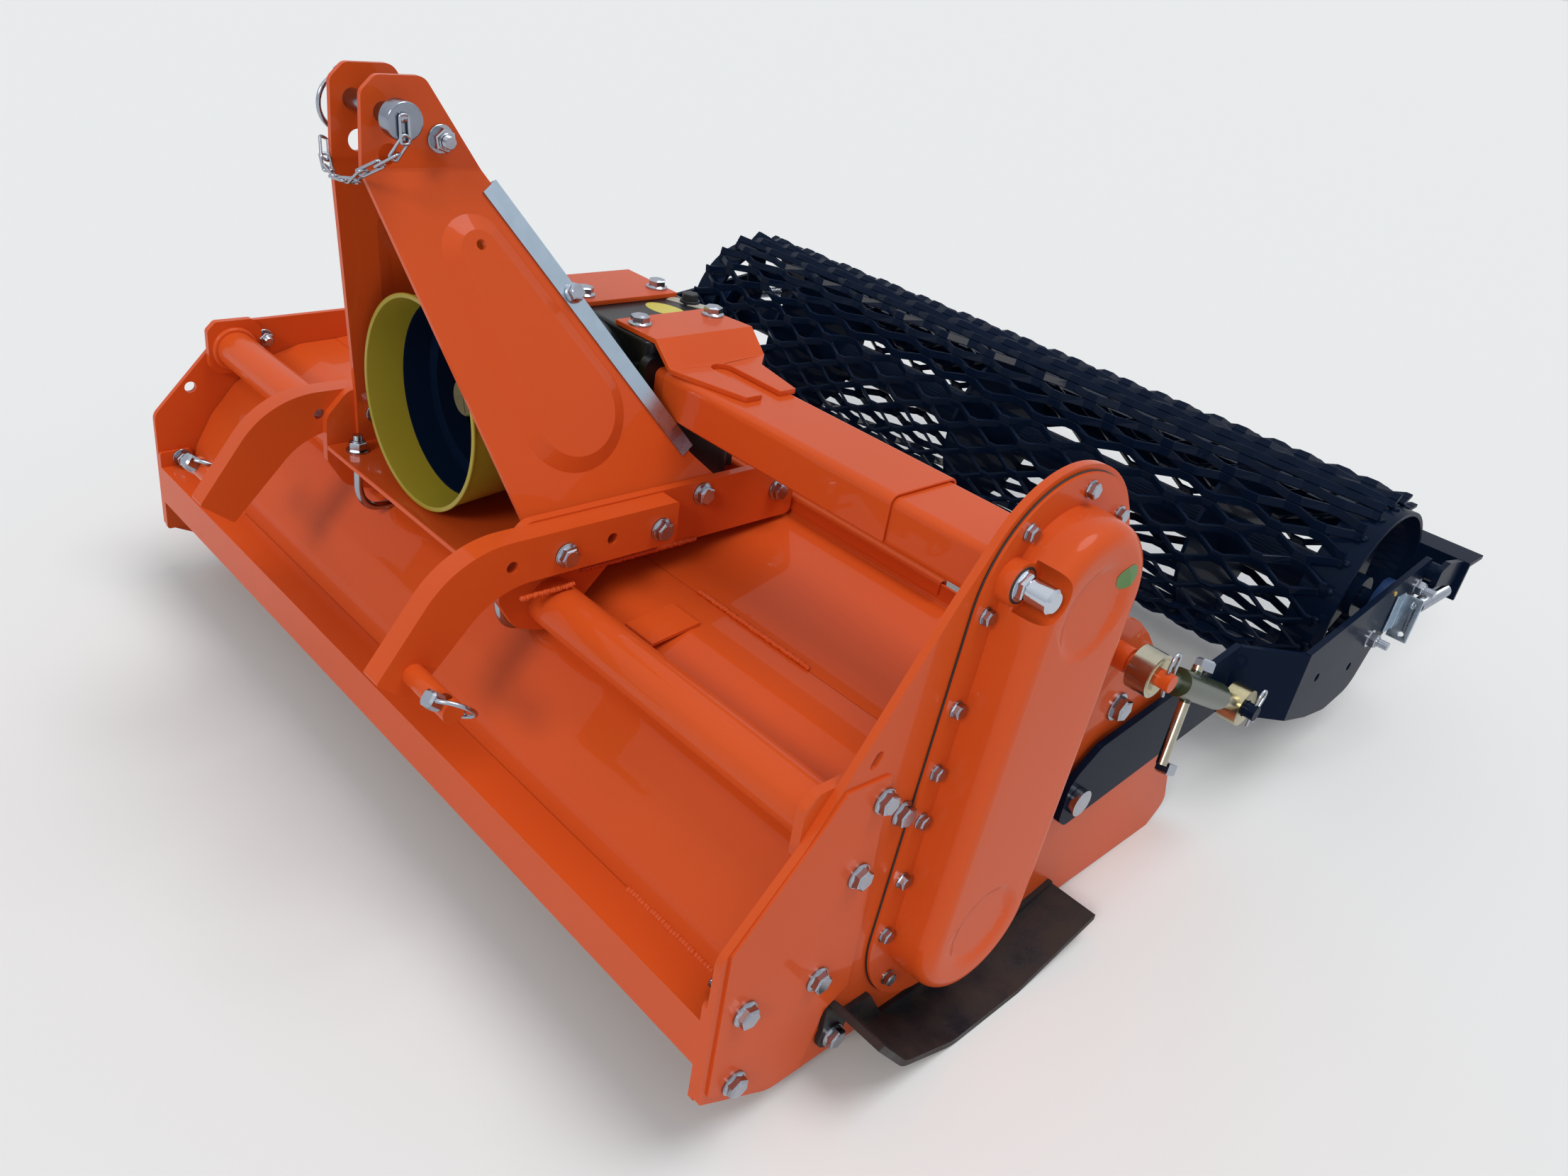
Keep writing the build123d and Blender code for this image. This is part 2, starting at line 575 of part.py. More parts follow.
# Axle housing tube with end flange, and the folded cover over its inner part
HOUSING_FRONT = 296.0
HOUSING_REAR = 386.0
HOUSING_LOW = 449.0
HOUSING_T = 4.0


def housing_outline(out):
    low, high = HOUSING_LOW - out, HOUSING_TOP + out
    front, rear = HOUSING_FRONT - out, HOUSING_REAR + out
    return [(front, low), (rear, low), (rear, high), (front, high)]


with BuildPart() as axle_housing:
    rounded(housing_outline(0), 9, 100, INNER - 100)
    rounded(housing_outline(10), 8, INNER - 8, 8)
    rounded(housing_outline(-HOUSING_T), 9 - HOUSING_T, 100, INNER - 100, Mode.SUBTRACT)
axle_housing.part.label = "axle_housing"
export_step(axle_housing.part, "parts/axle_housing.step")

COVER_EDGE = [(HOUSING_FRONT - 0.5, 456), (HOUSING_FRONT - 0.5, HOUSING_TOP + 0.5)]
COVER_EDGE += [(HOUSING_REAR + 0.5, HOUSING_TOP + 0.5), (HOUSING_REAR + 0.5, 456)]
with BuildPart() as housing_cover:
    sheet(COVER_EDGE, -COVER_T, 118, 455, 10)
housing_cover.part.label = "housing_cover"
export_step(housing_cover.part, "parts/housing_cover.step")

# Chain case gasket
with BuildPart() as chain_gasket:
    case_slot(CASE_FLANGE_R + 1, HALF_WIDTH, 2)
    case_slot(CASE_DOME_R - 3, HALF_WIDTH, 2, Mode.SUBTRACT)
chain_gasket.part.label = "chain_gasket"
export_step(chain_gasket.part, "parts/chain_gasket.step")

# Chain case, a deep-drawn cover with drafted walls, a large edge radius, a dished disc over each shaft
# and a recessed seat for the breather. The same form, one wall smaller, is its inside
CASE_FOOT = HALF_WIDTH + 2
DISH_R = 50.0
DISH_DEPTH = 4.0
BREATHER = (262.0, 506.0)
BREATHER_R = 20.0


def dish(y, z, face):
    rings = []
    for x, r in ((face, DISH_R), (face - DISH_DEPTH, DISH_R - 3 * DISH_DEPTH)):
        with BuildSketch(side_plane(x)) as ring:
            with Locations((y, z)):
                Circle(r)
        rings.append(ring.sketch)
    loft(rings, mode=Mode.SUBTRACT)


def breather_seat(wall):
    seat = CASE_FOOT + 16 - wall
    y, z = BREATHER
    rod_x(y, z, CASE_FOOT, seat, BREATHER_R - wall)
    rod_x(y, z, seat, CASE_FOOT + CASE_DEPTH + 1, BREATHER_R + 4 + wall, Mode.SUBTRACT)
    for y, z in ((CASE_TOP_Y, CASE_TOP_Z), (ROTOR_Y, ROTOR_Z)):
        dish(y, z, CASE_FOOT + CASE_DEPTH - wall)


with BuildPart() as case_inside:
    case_slot(CASE_DOME_R - CASE_T, CASE_FOOT, CASE_DEPTH - CASE_T, taper=CASE_DRAFT)
    fillet(case_inside.edges().group_by(Axis.X)[-1], CASE_EDGE_R - CASE_T)
    breather_seat(CASE_T)

with BuildPart() as chain_case:
    case_slot(CASE_DOME_R, CASE_FOOT, CASE_DEPTH, taper=CASE_DRAFT)
    fillet(chain_case.edges().group_by(Axis.X)[-1], CASE_EDGE_R)
    case_slot(CASE_FLANGE_R, CASE_FOOT, CASE_T)
    breather_seat(0)
    add(case_inside.part, mode=Mode.SUBTRACT)
chain_case.part.label = "chain_case"
export_step(chain_case.part, "parts/chain_case.step")

# Rotor with stubs, shaft tube and L-shaped blades bolted to flanges, turned a step from flange to flange
FLANGES = 9
BLADES = 4
BLADE_T = 8.0
BLADE_STEP = 20.0
# Blade outlines as distance out from the axis and distance ahead of the radius
SHANK = [(60, -20), (60, 20), (ROTOR_R - 24, 24), (ROTOR_R - 1, 4), (ROTOR_R - 1, -8), (ROTOR_R - 24, -14)]
HOE = [(ROTOR_R - 24, -6), (ROTOR_R - 24, 2), (ROTOR_R, 2), (ROTOR_R, -6)]
HOE_W = 46.0


def on_rotor(points, angle):
    out = []
    for u, v in points:
        y = ROTOR_Y + u * math.cos(angle) - v * math.sin(angle)
        z = ROTOR_Z + u * math.sin(angle) + v * math.cos(angle)
        out.append((y, z))
    return out


with BuildPart() as rotor:
    rod_x(ROTOR_Y, ROTOR_Z, -INNER + 12, INNER - 12, 40)
    rod_x(ROTOR_Y, ROTOR_Z, -HALF_WIDTH - 14, HALF_WIDTH + 34, 20)
    rod_x(ROTOR_Y, ROTOR_Z, HALF_WIDTH + 22, HALF_WIDTH + 34, 60)
    for i in range(FLANGES):
        x = -INNER + 82 + i * (2 * INNER - 164) / (FLANGES - 1)
        rod_x(ROTOR_Y, ROTOR_Z, x - 4, x + 4, 85)
        for k in range(BLADES):
            angle = math.radians(k * 360 / BLADES + i * BLADE_STEP)
            right = k % 2 == 0
            slab(on_rotor(SHANK, angle), x + 4 if right else x - 4 - BLADE_T, BLADE_T)
            slab(on_rotor(HOE, angle), x + 4 if right else x - 4 - HOE_W, HOE_W)
rotor.part.label = "rotor"
export_step(rotor.part, "parts/rotor.step")

# Rotor bearing housings
with BuildPart() as rotor_bearing_far:
    rod_x(ROTOR_Y, ROTOR_Z, -HALF_WIDTH - 22, -HALF_WIDTH, 62)
    rod_x(ROTOR_Y, ROTOR_Z, -HALF_WIDTH, -INNER, 52)
    rod_x(ROTOR_Y, ROTOR_Z, -HALF_WIDTH - 16, -INNER, 20 + PIN_FIT, Mode.SUBTRACT)
rotor_bearing_far.part.label = "rotor_bearing_far"
export_step(rotor_bearing_far.part, "parts/rotor_bearing_far.step")

with BuildPart() as rotor_bearing_chain:
    rod_x(ROTOR_Y, ROTOR_Z, INNER, HALF_WIDTH, 52)
    rod_x(ROTOR_Y, ROTOR_Z, HALF_WIDTH, HALF_WIDTH + 10, 62)
    rod_x(ROTOR_Y, ROTOR_Z, INNER, HALF_WIDTH + 10, 20 + PIN_FIT, Mode.SUBTRACT)
rotor_bearing_chain.part.label = "rotor_bearing_chain"
export_step(rotor_bearing_chain.part, "parts/rotor_bearing_chain.step")

# Selector grid behind the rotor and the black rod over the lip
GRID_Y = ROTOR_Y + 229 * math.cos(math.radians(35))
GRID_Z = ROTOR_Z + 229 * math.sin(math.radians(35))
with BuildPart() as selector_grid:
    rod_x(GRID_Y, GRID_Z, -INNER, INNER, 14)
    for i in range(24):
        x = -INNER + 27 + i * (2 * INNER - 54) / 23
        path = arc(ROTOR_Y, ROTOR_Z, 229, 35, -25, 7)
        inner = arc(ROTOR_Y, ROTOR_Z, 217, 35, -25, 7)
        slab(path + inner[::-1], x - 4, 8)
selector_grid.part.label = "selector_grid"
export_step(selector_grid.part, "parts/selector_grid.step")

with BuildPart() as tie_rod:
    rod_x(478, 362, -INNER, INNER, 6)
tie_rod.part.label = "tie_rod"
export_step(tie_rod.part, "parts/tie_rod.step")

# Skids bolted to the outside of the side plates' lower edges
SKID = [(155, 72), (205, 14), (290, -16), SKID_HEEL, (530, 22)]
SKID += [(530, 30), (400, -4), (290, -8), (209, 20), (163, 74)]
SKID_RADII = [1, 40, 60, 0, 1, 1, 60, 50, 32, 1]
SKID_FLANGE = [(176, 52), (205, 14), (290, -14), (400, -10), (530, 24)]
SKID_FLANGE += [(530, 34), (400, 10), (240, 10), (214, 52)]


def skid(sign):
    rounded(SKID, SKID_RADII, HALF_WIDTH if sign > 0 else -HALF_WIDTH - 66, 66)
    rounded(SKID_FLANGE, 3, HALF_WIDTH if sign > 0 else -HALF_WIDTH - 6, 6)


with BuildPart() as skid_left:
    skid(1)
skid_left.part.label = "skid_left"
export_step(skid_left.part, "parts/skid_left.step")

with BuildPart() as skid_right:
    skid(-1)
skid_right.part.label = "skid_right"
export_step(skid_right.part, "parts/skid_right.step")


# Roller arms, bent outward past the side plate and rounded below the roller's bearing
ARM_INNER = [(478, 196), (478, 150), (494, 138), (810, 173), (810, 269), (524, 232), (490, 210)]
ARM_INNER_RADII = [20, 14, 14, 0, 0, 20, 20]
ARM_OUTER = [(870, 172), (944, 150), (1010, 138), (1078, 150), (1106, 206), (1200, 262), (1216, 318)]
ARM_OUTER += [(870, 269)]
ARM_OUTER_RADII = [0, 30, 40, 40, 20, 20, 8, 0]
# Free holes in the arms' outer part
ARM_FREE = ((926, 218), (1040, 196))


def roller_arm(sign):
    x_in = ROLLER_ARM_X
    x_out = ROLLER_ARM_OUT
    t = ROLLER_ARM_T
    rounded(ARM_INNER, ARM_INNER_RADII, x_in if sign > 0 else -x_in - t, t)
    rounded(ARM_OUTER, ARM_OUTER_RADII, x_out if sign > 0 else -x_out - t, t)
    jog = [(x_in, 808), (x_in + t, 806), (x_out + t, 870), (x_out, 872)]
    with BuildSketch(top_plane(172)) as outline:
        Polygon(*[(sign * x, y) for x, y in jog], align=None)
    extrude(outline.sketch, amount=96, dir=UP)
    for y, z in ARM_FREE:
        rod_x(y, z, sign * (x_out - 1), sign * (x_out + t + 1), 6, Mode.SUBTRACT)
    if sign > 0:
        rod_x(PIVOT_Y, PIVOT_Z, x_in, x_in + t, 10 + PIN_FIT, Mode.SUBTRACT)
        rod_x(SCREW_REAR[0], SCREW_REAR[1], x_in + t, SCREW_X + 26, 9.5)
    else:
        rod_x(PIVOT_Y, PIVOT_Z, -x_in - t, -x_in, 10 + PIN_FIT, Mode.SUBTRACT)
        rod_x(SCREW_REAR[0], SCREW_REAR[1], -SCREW_X - 26, -x_in - t, 9.5)


with BuildPart() as roller_arm_left:
    roller_arm(1)
roller_arm_left.part.label = "roller_arm_left"
export_step(roller_arm_left.part, "parts/roller_arm_left.step")

with BuildPart() as roller_arm_right:
    roller_arm(-1)
roller_arm_right.part.label = "roller_arm_right"
export_step(roller_arm_right.part, "parts/roller_arm_right.step")

# Arm pivot pins and turnbuckle pins on the side plates
with BuildPart() as pivot_pin_left:
    rod_x(PIVOT_Y, PIVOT_Z, HALF_WIDTH, ROLLER_ARM_X - 0.5, 16)
    rod_x(PIVOT_Y, PIVOT_Z, HALF_WIDTH, ROLLER_ARM_X + ROLLER_ARM_T + 0.5, 10)
    rod_x(PIVOT_Y, PIVOT_Z, ROLLER_ARM_X + ROLLER_ARM_T + 0.5, ROLLER_ARM_X + ROLLER_ARM_T + 9, 16)
pivot_pin_left.part.label = "pivot_pin_left"
export_step(pivot_pin_left.part, "parts/pivot_pin_left.step")

with BuildPart() as pivot_pin_right:
    rod_x(PIVOT_Y, PIVOT_Z, -ROLLER_ARM_X + 0.5, -HALF_WIDTH, 16)
    rod_x(PIVOT_Y, PIVOT_Z, -ROLLER_ARM_X - ROLLER_ARM_T - 0.5, -HALF_WIDTH, 10)
    rod_x(PIVOT_Y, PIVOT_Z, -ROLLER_ARM_X - ROLLER_ARM_T - 9, -ROLLER_ARM_X - ROLLER_ARM_T - 0.5, 16)
pivot_pin_right.part.label = "pivot_pin_right"
export_step(pivot_pin_right.part, "parts/pivot_pin_right.step")

with BuildPart() as screw_pin_left:
    rod_x(SCREW_FRONT[0], SCREW_FRONT[1], HALF_WIDTH, SCREW_X - 20, 14)
    rod_x(SCREW_FRONT[0], SCREW_FRONT[1], SCREW_X - 20, SCREW_X + 28, 9.5)
screw_pin_left.part.label = "screw_pin_left"
export_step(screw_pin_left.part, "parts/screw_pin_left.step")

with BuildPart() as screw_pin_right:
    rod_x(SCREW_FRONT[0], SCREW_FRONT[1], -SCREW_X + 20, -HALF_WIDTH, 14)
    rod_x(SCREW_FRONT[0], SCREW_FRONT[1], -SCREW_X - 28, -SCREW_X + 20, 9.5)
screw_pin_right.part.label = "screw_pin_right"
export_step(screw_pin_right.part, "parts/screw_pin_right.step")

# Turnbuckle barrels with front eye, and screw rods with rear eye
SCREW_L = math.hypot(SCREW_REAR[0] - SCREW_FRONT[0], SCREW_REAR[1] - SCREW_FRONT[1])
UY = (SCREW_REAR[0] - SCREW_FRONT[0]) / SCREW_L
UZ = (SCREW_REAR[1] - SCREW_FRONT[1]) / SCREW_L


def on_screw(x, s):
    return (x, SCREW_FRONT[0] + UY * s, SCREW_FRONT[1] + UZ * s)


TOMMY_LOW = (15.0, -41.0, -79.0)
TOMMY_HIGH = (-4.0, 11.0, 21.2)


def barrel(x):
    y0, z0 = SCREW_FRONT
    rod_x(y0, z0, x - 12, x + 12, 24)
    rod(on_screw(x, 18), on_screw(x, 110), 9)
    rod(on_screw(x, 90), on_screw(x, 232), 16)
    hand = 1 if x > 0 else -1
    middle = on_screw(x, 136)
    ends = []
    for dx, dy, dz in (TOMMY_LOW, TOMMY_HIGH):
        ends.append((middle[0] + hand * dx, middle[1] + dy, middle[2] + dz))
    rod(ends[0], ends[1], 6)
    rod(on_screw(x, 150), on_screw(x, 233), 10.05, Mode.SUBTRACT)
    rod_x(y0, z0, x - 13, x + 13, 9.5 + PIN_FIT, Mode.SUBTRACT)


def screw(x):
    y1, z1 = SCREW_REAR
    rod_x(y1, z1, x - 12, x + 12, 24)
    rod(on_screw(x, 178), on_screw(x, SCREW_L - 18), 10)
    rod_x(y1, z1, x - 13, x + 13, EYE_R, Mode.SUBTRACT)


with BuildPart() as screw_barrel_left:
    barrel(SCREW_X)
screw_barrel_left.part.label = "screw_barrel_left"
export_step(screw_barrel_left.part, "parts/screw_barrel_left.step")

with BuildPart() as screw_barrel_right:
    barrel(-SCREW_X)
screw_barrel_right.part.label = "screw_barrel_right"
export_step(screw_barrel_right.part, "parts/screw_barrel_right.step")

with BuildPart() as screw_rod_left:
    screw(SCREW_X)
screw_rod_left.part.label = "screw_rod_left"
export_step(screw_rod_left.part, "parts/screw_rod_left.step")

with BuildPart() as screw_rod_right:
    screw(-SCREW_X)
screw_rod_right.part.label = "screw_rod_right"
export_step(screw_rod_right.part, "parts/screw_rod_right.step")

# Roller bearings on the arms
with BuildPart() as roller_bearing_left:
    rod_x(ROLLER_Y, ROLLER_Z, ROLLER_ARM_OUT - 16, ROLLER_ARM_OUT, 40)
    rod_x(ROLLER_Y, ROLLER_Z, ROLLER_ARM_OUT - 16, ROLLER_ARM_OUT, 15 + PIN_FIT, Mode.SUBTRACT)
roller_bearing_left.part.label = "roller_bearing_left"
export_step(roller_bearing_left.part, "parts/roller_bearing_left.step")

with BuildPart() as roller_bearing_right:
    rod_x(ROLLER_Y, ROLLER_Z, -ROLLER_ARM_OUT, -ROLLER_ARM_OUT + 16, 40)
    rod_x(ROLLER_Y, ROLLER_Z, -ROLLER_ARM_OUT, -ROLLER_ARM_OUT + 16, 15 + PIN_FIT, Mode.SUBTRACT)
roller_bearing_right.part.label = "roller_bearing_right"
export_step(roller_bearing_right.part, "parts/roller_bearing_right.step")

# Roller core with axle, discs and end rings
with BuildPart() as roller_core:
    for x0, x1 in ((-ROLLER_HALF, -ROLLER_HALF + 55), (ROLLER_HALF - 55, ROLLER_HALF)):
        rod_x(ROLLER_Y, ROLLER_Z, x0, x1, RING_R)
        rod_x(ROLLER_Y, ROLLER_Z, x0, x1, RING_R - 6, Mode.SUBTRACT)
    for x in (-ROLLER_HALF * 2 / 3, 0, ROLLER_HALF * 2 / 3):
        rod_x(ROLLER_Y, ROLLER_Z, x - 3, x + 3, RING_R)
    for x in (-ROLLER_HALF + 24, ROLLER_HALF - 30):
        for k in range(3):
            a = math.radians(90 + 120 * k)
            tip = (ROLLER_Y + (RING_R - 3) * math.cos(a), ROLLER_Z + (RING_R - 3) * math.sin(a))
            n = (-math.sin(a) * 20, math.cos(a) * 20)
            slab([(ROLLER_Y + n[0], ROLLER_Z + n[1]), (tip[0] + n[0], tip[1] + n[1]),
                  (tip[0] - n[0], tip[1] - n[1]), (ROLLER_Y - n[0], ROLLER_Z - n[1])], x, 6)
    rod_x(ROLLER_Y, ROLLER_Z, 12 - ROLLER_HALF, ROLLER_HALF - 12, 30)
    rod_x(ROLLER_Y, ROLLER_Z, -ROLLER_ARM_OUT + 1, ROLLER_ARM_OUT - 1, 15)
roller_core.part.label = "roller_core"
export_step(roller_core.part, "parts/roller_core.step")

# Roller mesh, expanded metal rolled to a tube: diamond openings, staggered row by row round the axis
MESH_SIDES = 14
MESH_ROWS = 9
MESH_T = 8.0
STRAND_W = 10.0
MESH_PITCH = 2 * ROLLER_HALF / MESH_ROWS
MESH_GAUGE = 2 * (RING_R + MESH_T / 2) * math.tan(math.pi / MESH_SIDES)
STRAND_LEAN = math.atan2(MESH_GAUGE, MESH_PITCH)
OPEN_X = MESH_PITCH / 2 - STRAND_W / 2 / math.sin(STRAND_LEAN)
OPEN_W = MESH_GAUGE / 2 - STRAND_W / 2 / math.cos(STRAND_LEAN)
with BuildPart() as roller_mesh:
    with BuildSketch(side_plane(-ROLLER_HALF)) as tube:
        with Locations((ROLLER_Y, ROLLER_Z)):
            RegularPolygon(RING_R + MESH_T, MESH_SIDES, major_radius=False)
            RegularPolygon(RING_R, MESH_SIDES, major_radius=False, mode=Mode.SUBTRACT)
    extrude(amount=2 * ROLLER_HALF)
    for k in range(2 * MESH_SIDES):
        angle = math.pi * k / MESH_SIDES
        out = turned(0, math.cos(angle), math.sin(angle))
        shift = MESH_PITCH / 2 if k % 2 == 0 else 0
        with BuildSketch(Plane(origin=at(0, ROLLER_Y, ROLLER_Z), x_dir=(1, 0, 0), z_dir=out)) as openings:
            for i in range(MESH_ROWS + k % 2):
                with Locations((-ROLLER_HALF + shift + i * MESH_PITCH, 0)):
                    Polygon((-OPEN_X, 0), (0, OPEN_W), (OPEN_X, 0), (0, -OPEN_W), align=None)
        extrude(amount=RING_R + 4 * MESH_T, mode=Mode.SUBTRACT)
roller_mesh.part.label = "roller_mesh"
export_step(roller_mesh.part, "parts/roller_mesh.step")

# Scraper beam behind the roller, hung on a pivot bush at each arm's end
with BuildPart() as scraper_beam:
    block(-BEAM_REACH, BEAM_REACH, BEAM_Y, BEAM_Y + 6, 240, 300)
    block(-BEAM_REACH, BEAM_REACH, BEAM_Y, BEAM_Y + 53, 294, 300)
    for sign in (1, -1):
        x0 = ROLLER_ARM_OUT + ROLLER_ARM_T
        lug = [(1198, 284), (1228, 278), (BEAM_Y, 262), (BEAM_Y, 300), (1225, 314), (1198, 308)]
        rounded(lug, 6, x0 + 12 if sign > 0 else -x0 - 20, 8)
        ends = (x0, x0 + 12) if sign > 0 else (-x0 - 12, -x0)
        rod_x(1212, 297, ends[0], ends[1], 13)
scraper_beam.part.label = "scraper_beam"
export_step(scraper_beam.part, "parts/scraper_beam.step")

# Spring brackets on the arms, and the scraper's springs between their top holes and the beam
SPRING_HOLE = (ROLLER_ARM_OUT + ROLLER_ARM_T + 18.0, 268.0)
SPRING_R = 9.0
BRACKET_T = 3.0


def spring_bracket(sign):
    x0 = ROLLER_ARM_OUT + ROLLER_ARM_T
    if sign > 0:
        block(x0, x0 + BRACKET_T, BRACKET_Y - 28, BRACKET_Y, 226, 282)
        block(x0, x0 + 28, BRACKET_Y - BRACKET_T, BRACKET_Y, 214, 280)
    else:
        block(-x0 - BRACKET_T, -x0, BRACKET_Y - 28, BRACKET_Y, 226, 282)
        block(-x0 - 28, -x0, BRACKET_Y - BRACKET_T, BRACKET_Y, 214, 280)
    for z in (224, SPRING_HOLE[1]):
        rod_y(sign * SPRING_HOLE[0], z, BRACKET_Y - BRACKET_T, BRACKET_Y, 3.5, Mode.SUBTRACT)


def scraper_spring(sign):
    x, z = SPRING_HOLE
    x *= sign
    coil = ((x, BRACKET_Y + 20, z - 3), (x, BEAM_Y - 18, z - 11))
    rod((x, BRACKET_Y + 0.3, z - 6), coil[0], 2)
    rod(coil[0], coil[1], SPRING_R)
    rod(coil[1], (x, BEAM_Y - 0.3, z - 12), 2)


with BuildPart() as spring_bracket_left:
    spring_bracket(1)
spring_bracket_left.part.label = "spring_bracket_left"
export_step(spring_bracket_left.part, "parts/spring_bracket_left.step")

with BuildPart() as spring_bracket_right:
    spring_bracket(-1)
spring_bracket_right.part.label = "spring_bracket_right"
export_step(spring_bracket_right.part, "parts/spring_bracket_right.step")

with BuildPart() as scraper_spring_left:
    scraper_spring(1)
scraper_spring_left.part.label = "scraper_spring_left"
export_step(scraper_spring_left.part, "parts/scraper_spring_left.step")

with BuildPart() as scraper_spring_right:
    scraper_spring(-1)
scraper_spring_right.part.label = "scraper_spring_right"
export_step(scraper_spring_right.part, "parts/scraper_spring_right.step")
print("done")
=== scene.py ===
import bpy
import bmesh
import json
import math
import random
from mathutils import Matrix, Vector
from mathutils.bvhtree import BVHTree


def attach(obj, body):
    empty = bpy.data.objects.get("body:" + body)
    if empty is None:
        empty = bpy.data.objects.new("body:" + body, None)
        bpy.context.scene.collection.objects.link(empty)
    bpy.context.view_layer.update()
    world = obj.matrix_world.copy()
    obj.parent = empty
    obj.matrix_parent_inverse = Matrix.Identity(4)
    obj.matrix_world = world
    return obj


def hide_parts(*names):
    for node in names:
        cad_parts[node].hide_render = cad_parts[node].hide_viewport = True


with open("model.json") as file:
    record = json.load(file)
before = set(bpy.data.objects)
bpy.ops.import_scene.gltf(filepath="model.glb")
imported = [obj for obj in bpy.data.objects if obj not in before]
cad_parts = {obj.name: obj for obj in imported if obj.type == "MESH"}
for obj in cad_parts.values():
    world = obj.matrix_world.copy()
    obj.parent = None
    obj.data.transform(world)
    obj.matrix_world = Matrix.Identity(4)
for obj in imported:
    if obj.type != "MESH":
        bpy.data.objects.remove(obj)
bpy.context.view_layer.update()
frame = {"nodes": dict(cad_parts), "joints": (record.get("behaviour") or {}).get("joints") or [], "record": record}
print("frame loaded,", len(frame["nodes"]), "nodes")

# The machine's own axes in mm: x to the chain case, y back from the beam, z up from the side plates' foot
mm = 0.001
spinAxis = next(joint for joint in frame["joints"] if joint["name"] == "pto_spin")
back = Vector(spinAxis["axis"]).normalized()
up = Vector((1, 0, 0)).cross(back)
shaftMouth = Vector((0, 172, 454))  # where that joint stands on the machine
machine = Matrix((
    (mm, 0, 0, 0),
    (0, back.y * mm, up.y * mm, 0),
    (0, back.z * mm, up.z * mm, 0),
    (0, 0, 0, 1)))
machine.translation = Vector(spinAxis["pos_m"]) - machine @ shaftMouth


# Materials

finishes = {
    "orange": {
        "colour": (0.62, 0.082, 0.014), "slot": "machine_orange",
        "roughness": 0.32, "coat": 0.25, "shine": 0.06, "peel": 0.05,
    },
    "black": {
        "colour": (0.0030, 0.0085, 0.0250), "slot": "gloss_black",
        "roughness": 0.30, "coat": 0.08, "shine": 0.02, "peel": 0.06,
    },
    "casting": {
        "colour": (0.0060, 0.0070, 0.0100), "slot": "gearbox_paint",
        "roughness": 0.36, "coat": 0.10, "shine": 0.30, "peel": 0.35,
    },
    "rotorBlack": {
        "colour": (0.0120, 0.0130, 0.0160), "slot": "rotor_paint",
        "roughness": 0.45, "coat": 0.05, "shine": 0.3, "peel": 0.1,
    },
    "bearingBlue": {
        "colour": (0.006, 0.030, 0.110), "slot": "bearing_blue",
        "roughness": 0.30, "coat": 0.2, "shine": 0.4, "peel": 0.15,
    },
}
metals = {
    "zinc": {"colour": (0.40, 0.43, 0.49), "roughness": 0.20, "mottle": 0.10, "slot": "zinc"},
    "chrome": {"colour": (0.55, 0.59, 0.66), "roughness": 0.10, "mottle": 0.05, "slot": "bright_chrome"},
    "pinSteel": {"colour": (0.28, 0.31, 0.37), "roughness": 0.18, "mottle": 0.12, "slot": "bright_chrome"},
    "galvanised": {"colour": (0.44, 0.54, 0.64), "roughness": 0.26, "mottle": 0.05, "slot": "galvanised"},
    "yellowZinc": {"colour": (0.48, 0.43, 0.27), "roughness": 0.24, "mottle": 0.14, "slot": "yellow_zinc"},
    "brass": {"colour": (0.60, 0.40, 0.14), "roughness": 0.30, "mottle": 0.12, "slot": "yellow_zinc"},
    "shaftSteel": {"colour": (0.40, 0.34, 0.24), "roughness": 0.38, "mottle": 0.18, "slot": "shaft_steel"},
}


def newMaterial(name):
    material = bpy.data.materials.new(name)
    material.use_nodes = True
    nodes = material.node_tree.nodes
    return material, nodes, material.node_tree.links, nodes["Principled BSDF"]


def noiseOn(nodes, links, scale, detail):
    place = nodes.new("ShaderNodeTexCoord")
    noise = nodes.new("ShaderNodeTexNoise")
    noise.inputs["Scale"].default_value = scale
    noise.inputs["Detail"].default_value = detail
    links.new(place.outputs["Object"], noise.inputs["Vector"])
    return noise.outputs["Fac"]


noiseSpan = (0.3, 0.7)  # nearly all of a noise texture's values lie between these


def spread(nodes, links, source, low, high):
    ranger = nodes.new("ShaderNodeMapRange")
    ranger.inputs["From Min"].default_value = noiseSpan[0]
    ranger.inputs["From Max"].default_value = noiseSpan[1]
    ranger.inputs["To Min"].default_value = low
    ranger.inputs["To Max"].default_value = high
    links.new(source, ranger.inputs["Value"])
    return ranger.outputs["Result"]


def shades(nodes, links, source, dark, light):
    ramp = nodes.new("ShaderNodeValToRGB")
    for stop, place, colour in zip(ramp.color_ramp.elements, noiseSpan, (dark, light)):
        stop.position = place
        stop.color = (*colour, 1)
    links.new(source, ramp.inputs["Fac"])
    return ramp.outputs["Color"]


def mottled(nodes, links, source, colour, darker, lighter):
    dark = [c * darker for c in colour]
    light = [min(1, c * lighter) for c in colour]
    return shades(nodes, links, source, dark, light)


def roughen(nodes, links, shader, source, strength):
    bump = nodes.new("ShaderNodeBump")
    bump.inputs["Strength"].default_value = strength
    bump.inputs["Distance"].default_value = mm
    links.new(source, bump.inputs["Height"])
    links.new(bump.outputs["Normal"], shader.inputs["Normal"])


grain = {  # scale and detail of each noise, and how far colour (tone) and roughness (sheen) stray
    "enamel": {"patches": (3.5, 2), "smears": (14, 4), "fine": (420, 1), "tone": (0.95, 1.04),
               "sheen": (0.94, 1.06), "coatRoughness": 0.035},
    "metal": {"patches": (60, 3), "fine": (900, 1), "sheen": (0.85, 1.2), "bump": 0.03},
    "plastic": {"patches": (6, 2), "fine": (1400, 1), "tone": (0.88, 1.08), "sheen": (0.9, 1.1),
                "bump": 0.12},
}


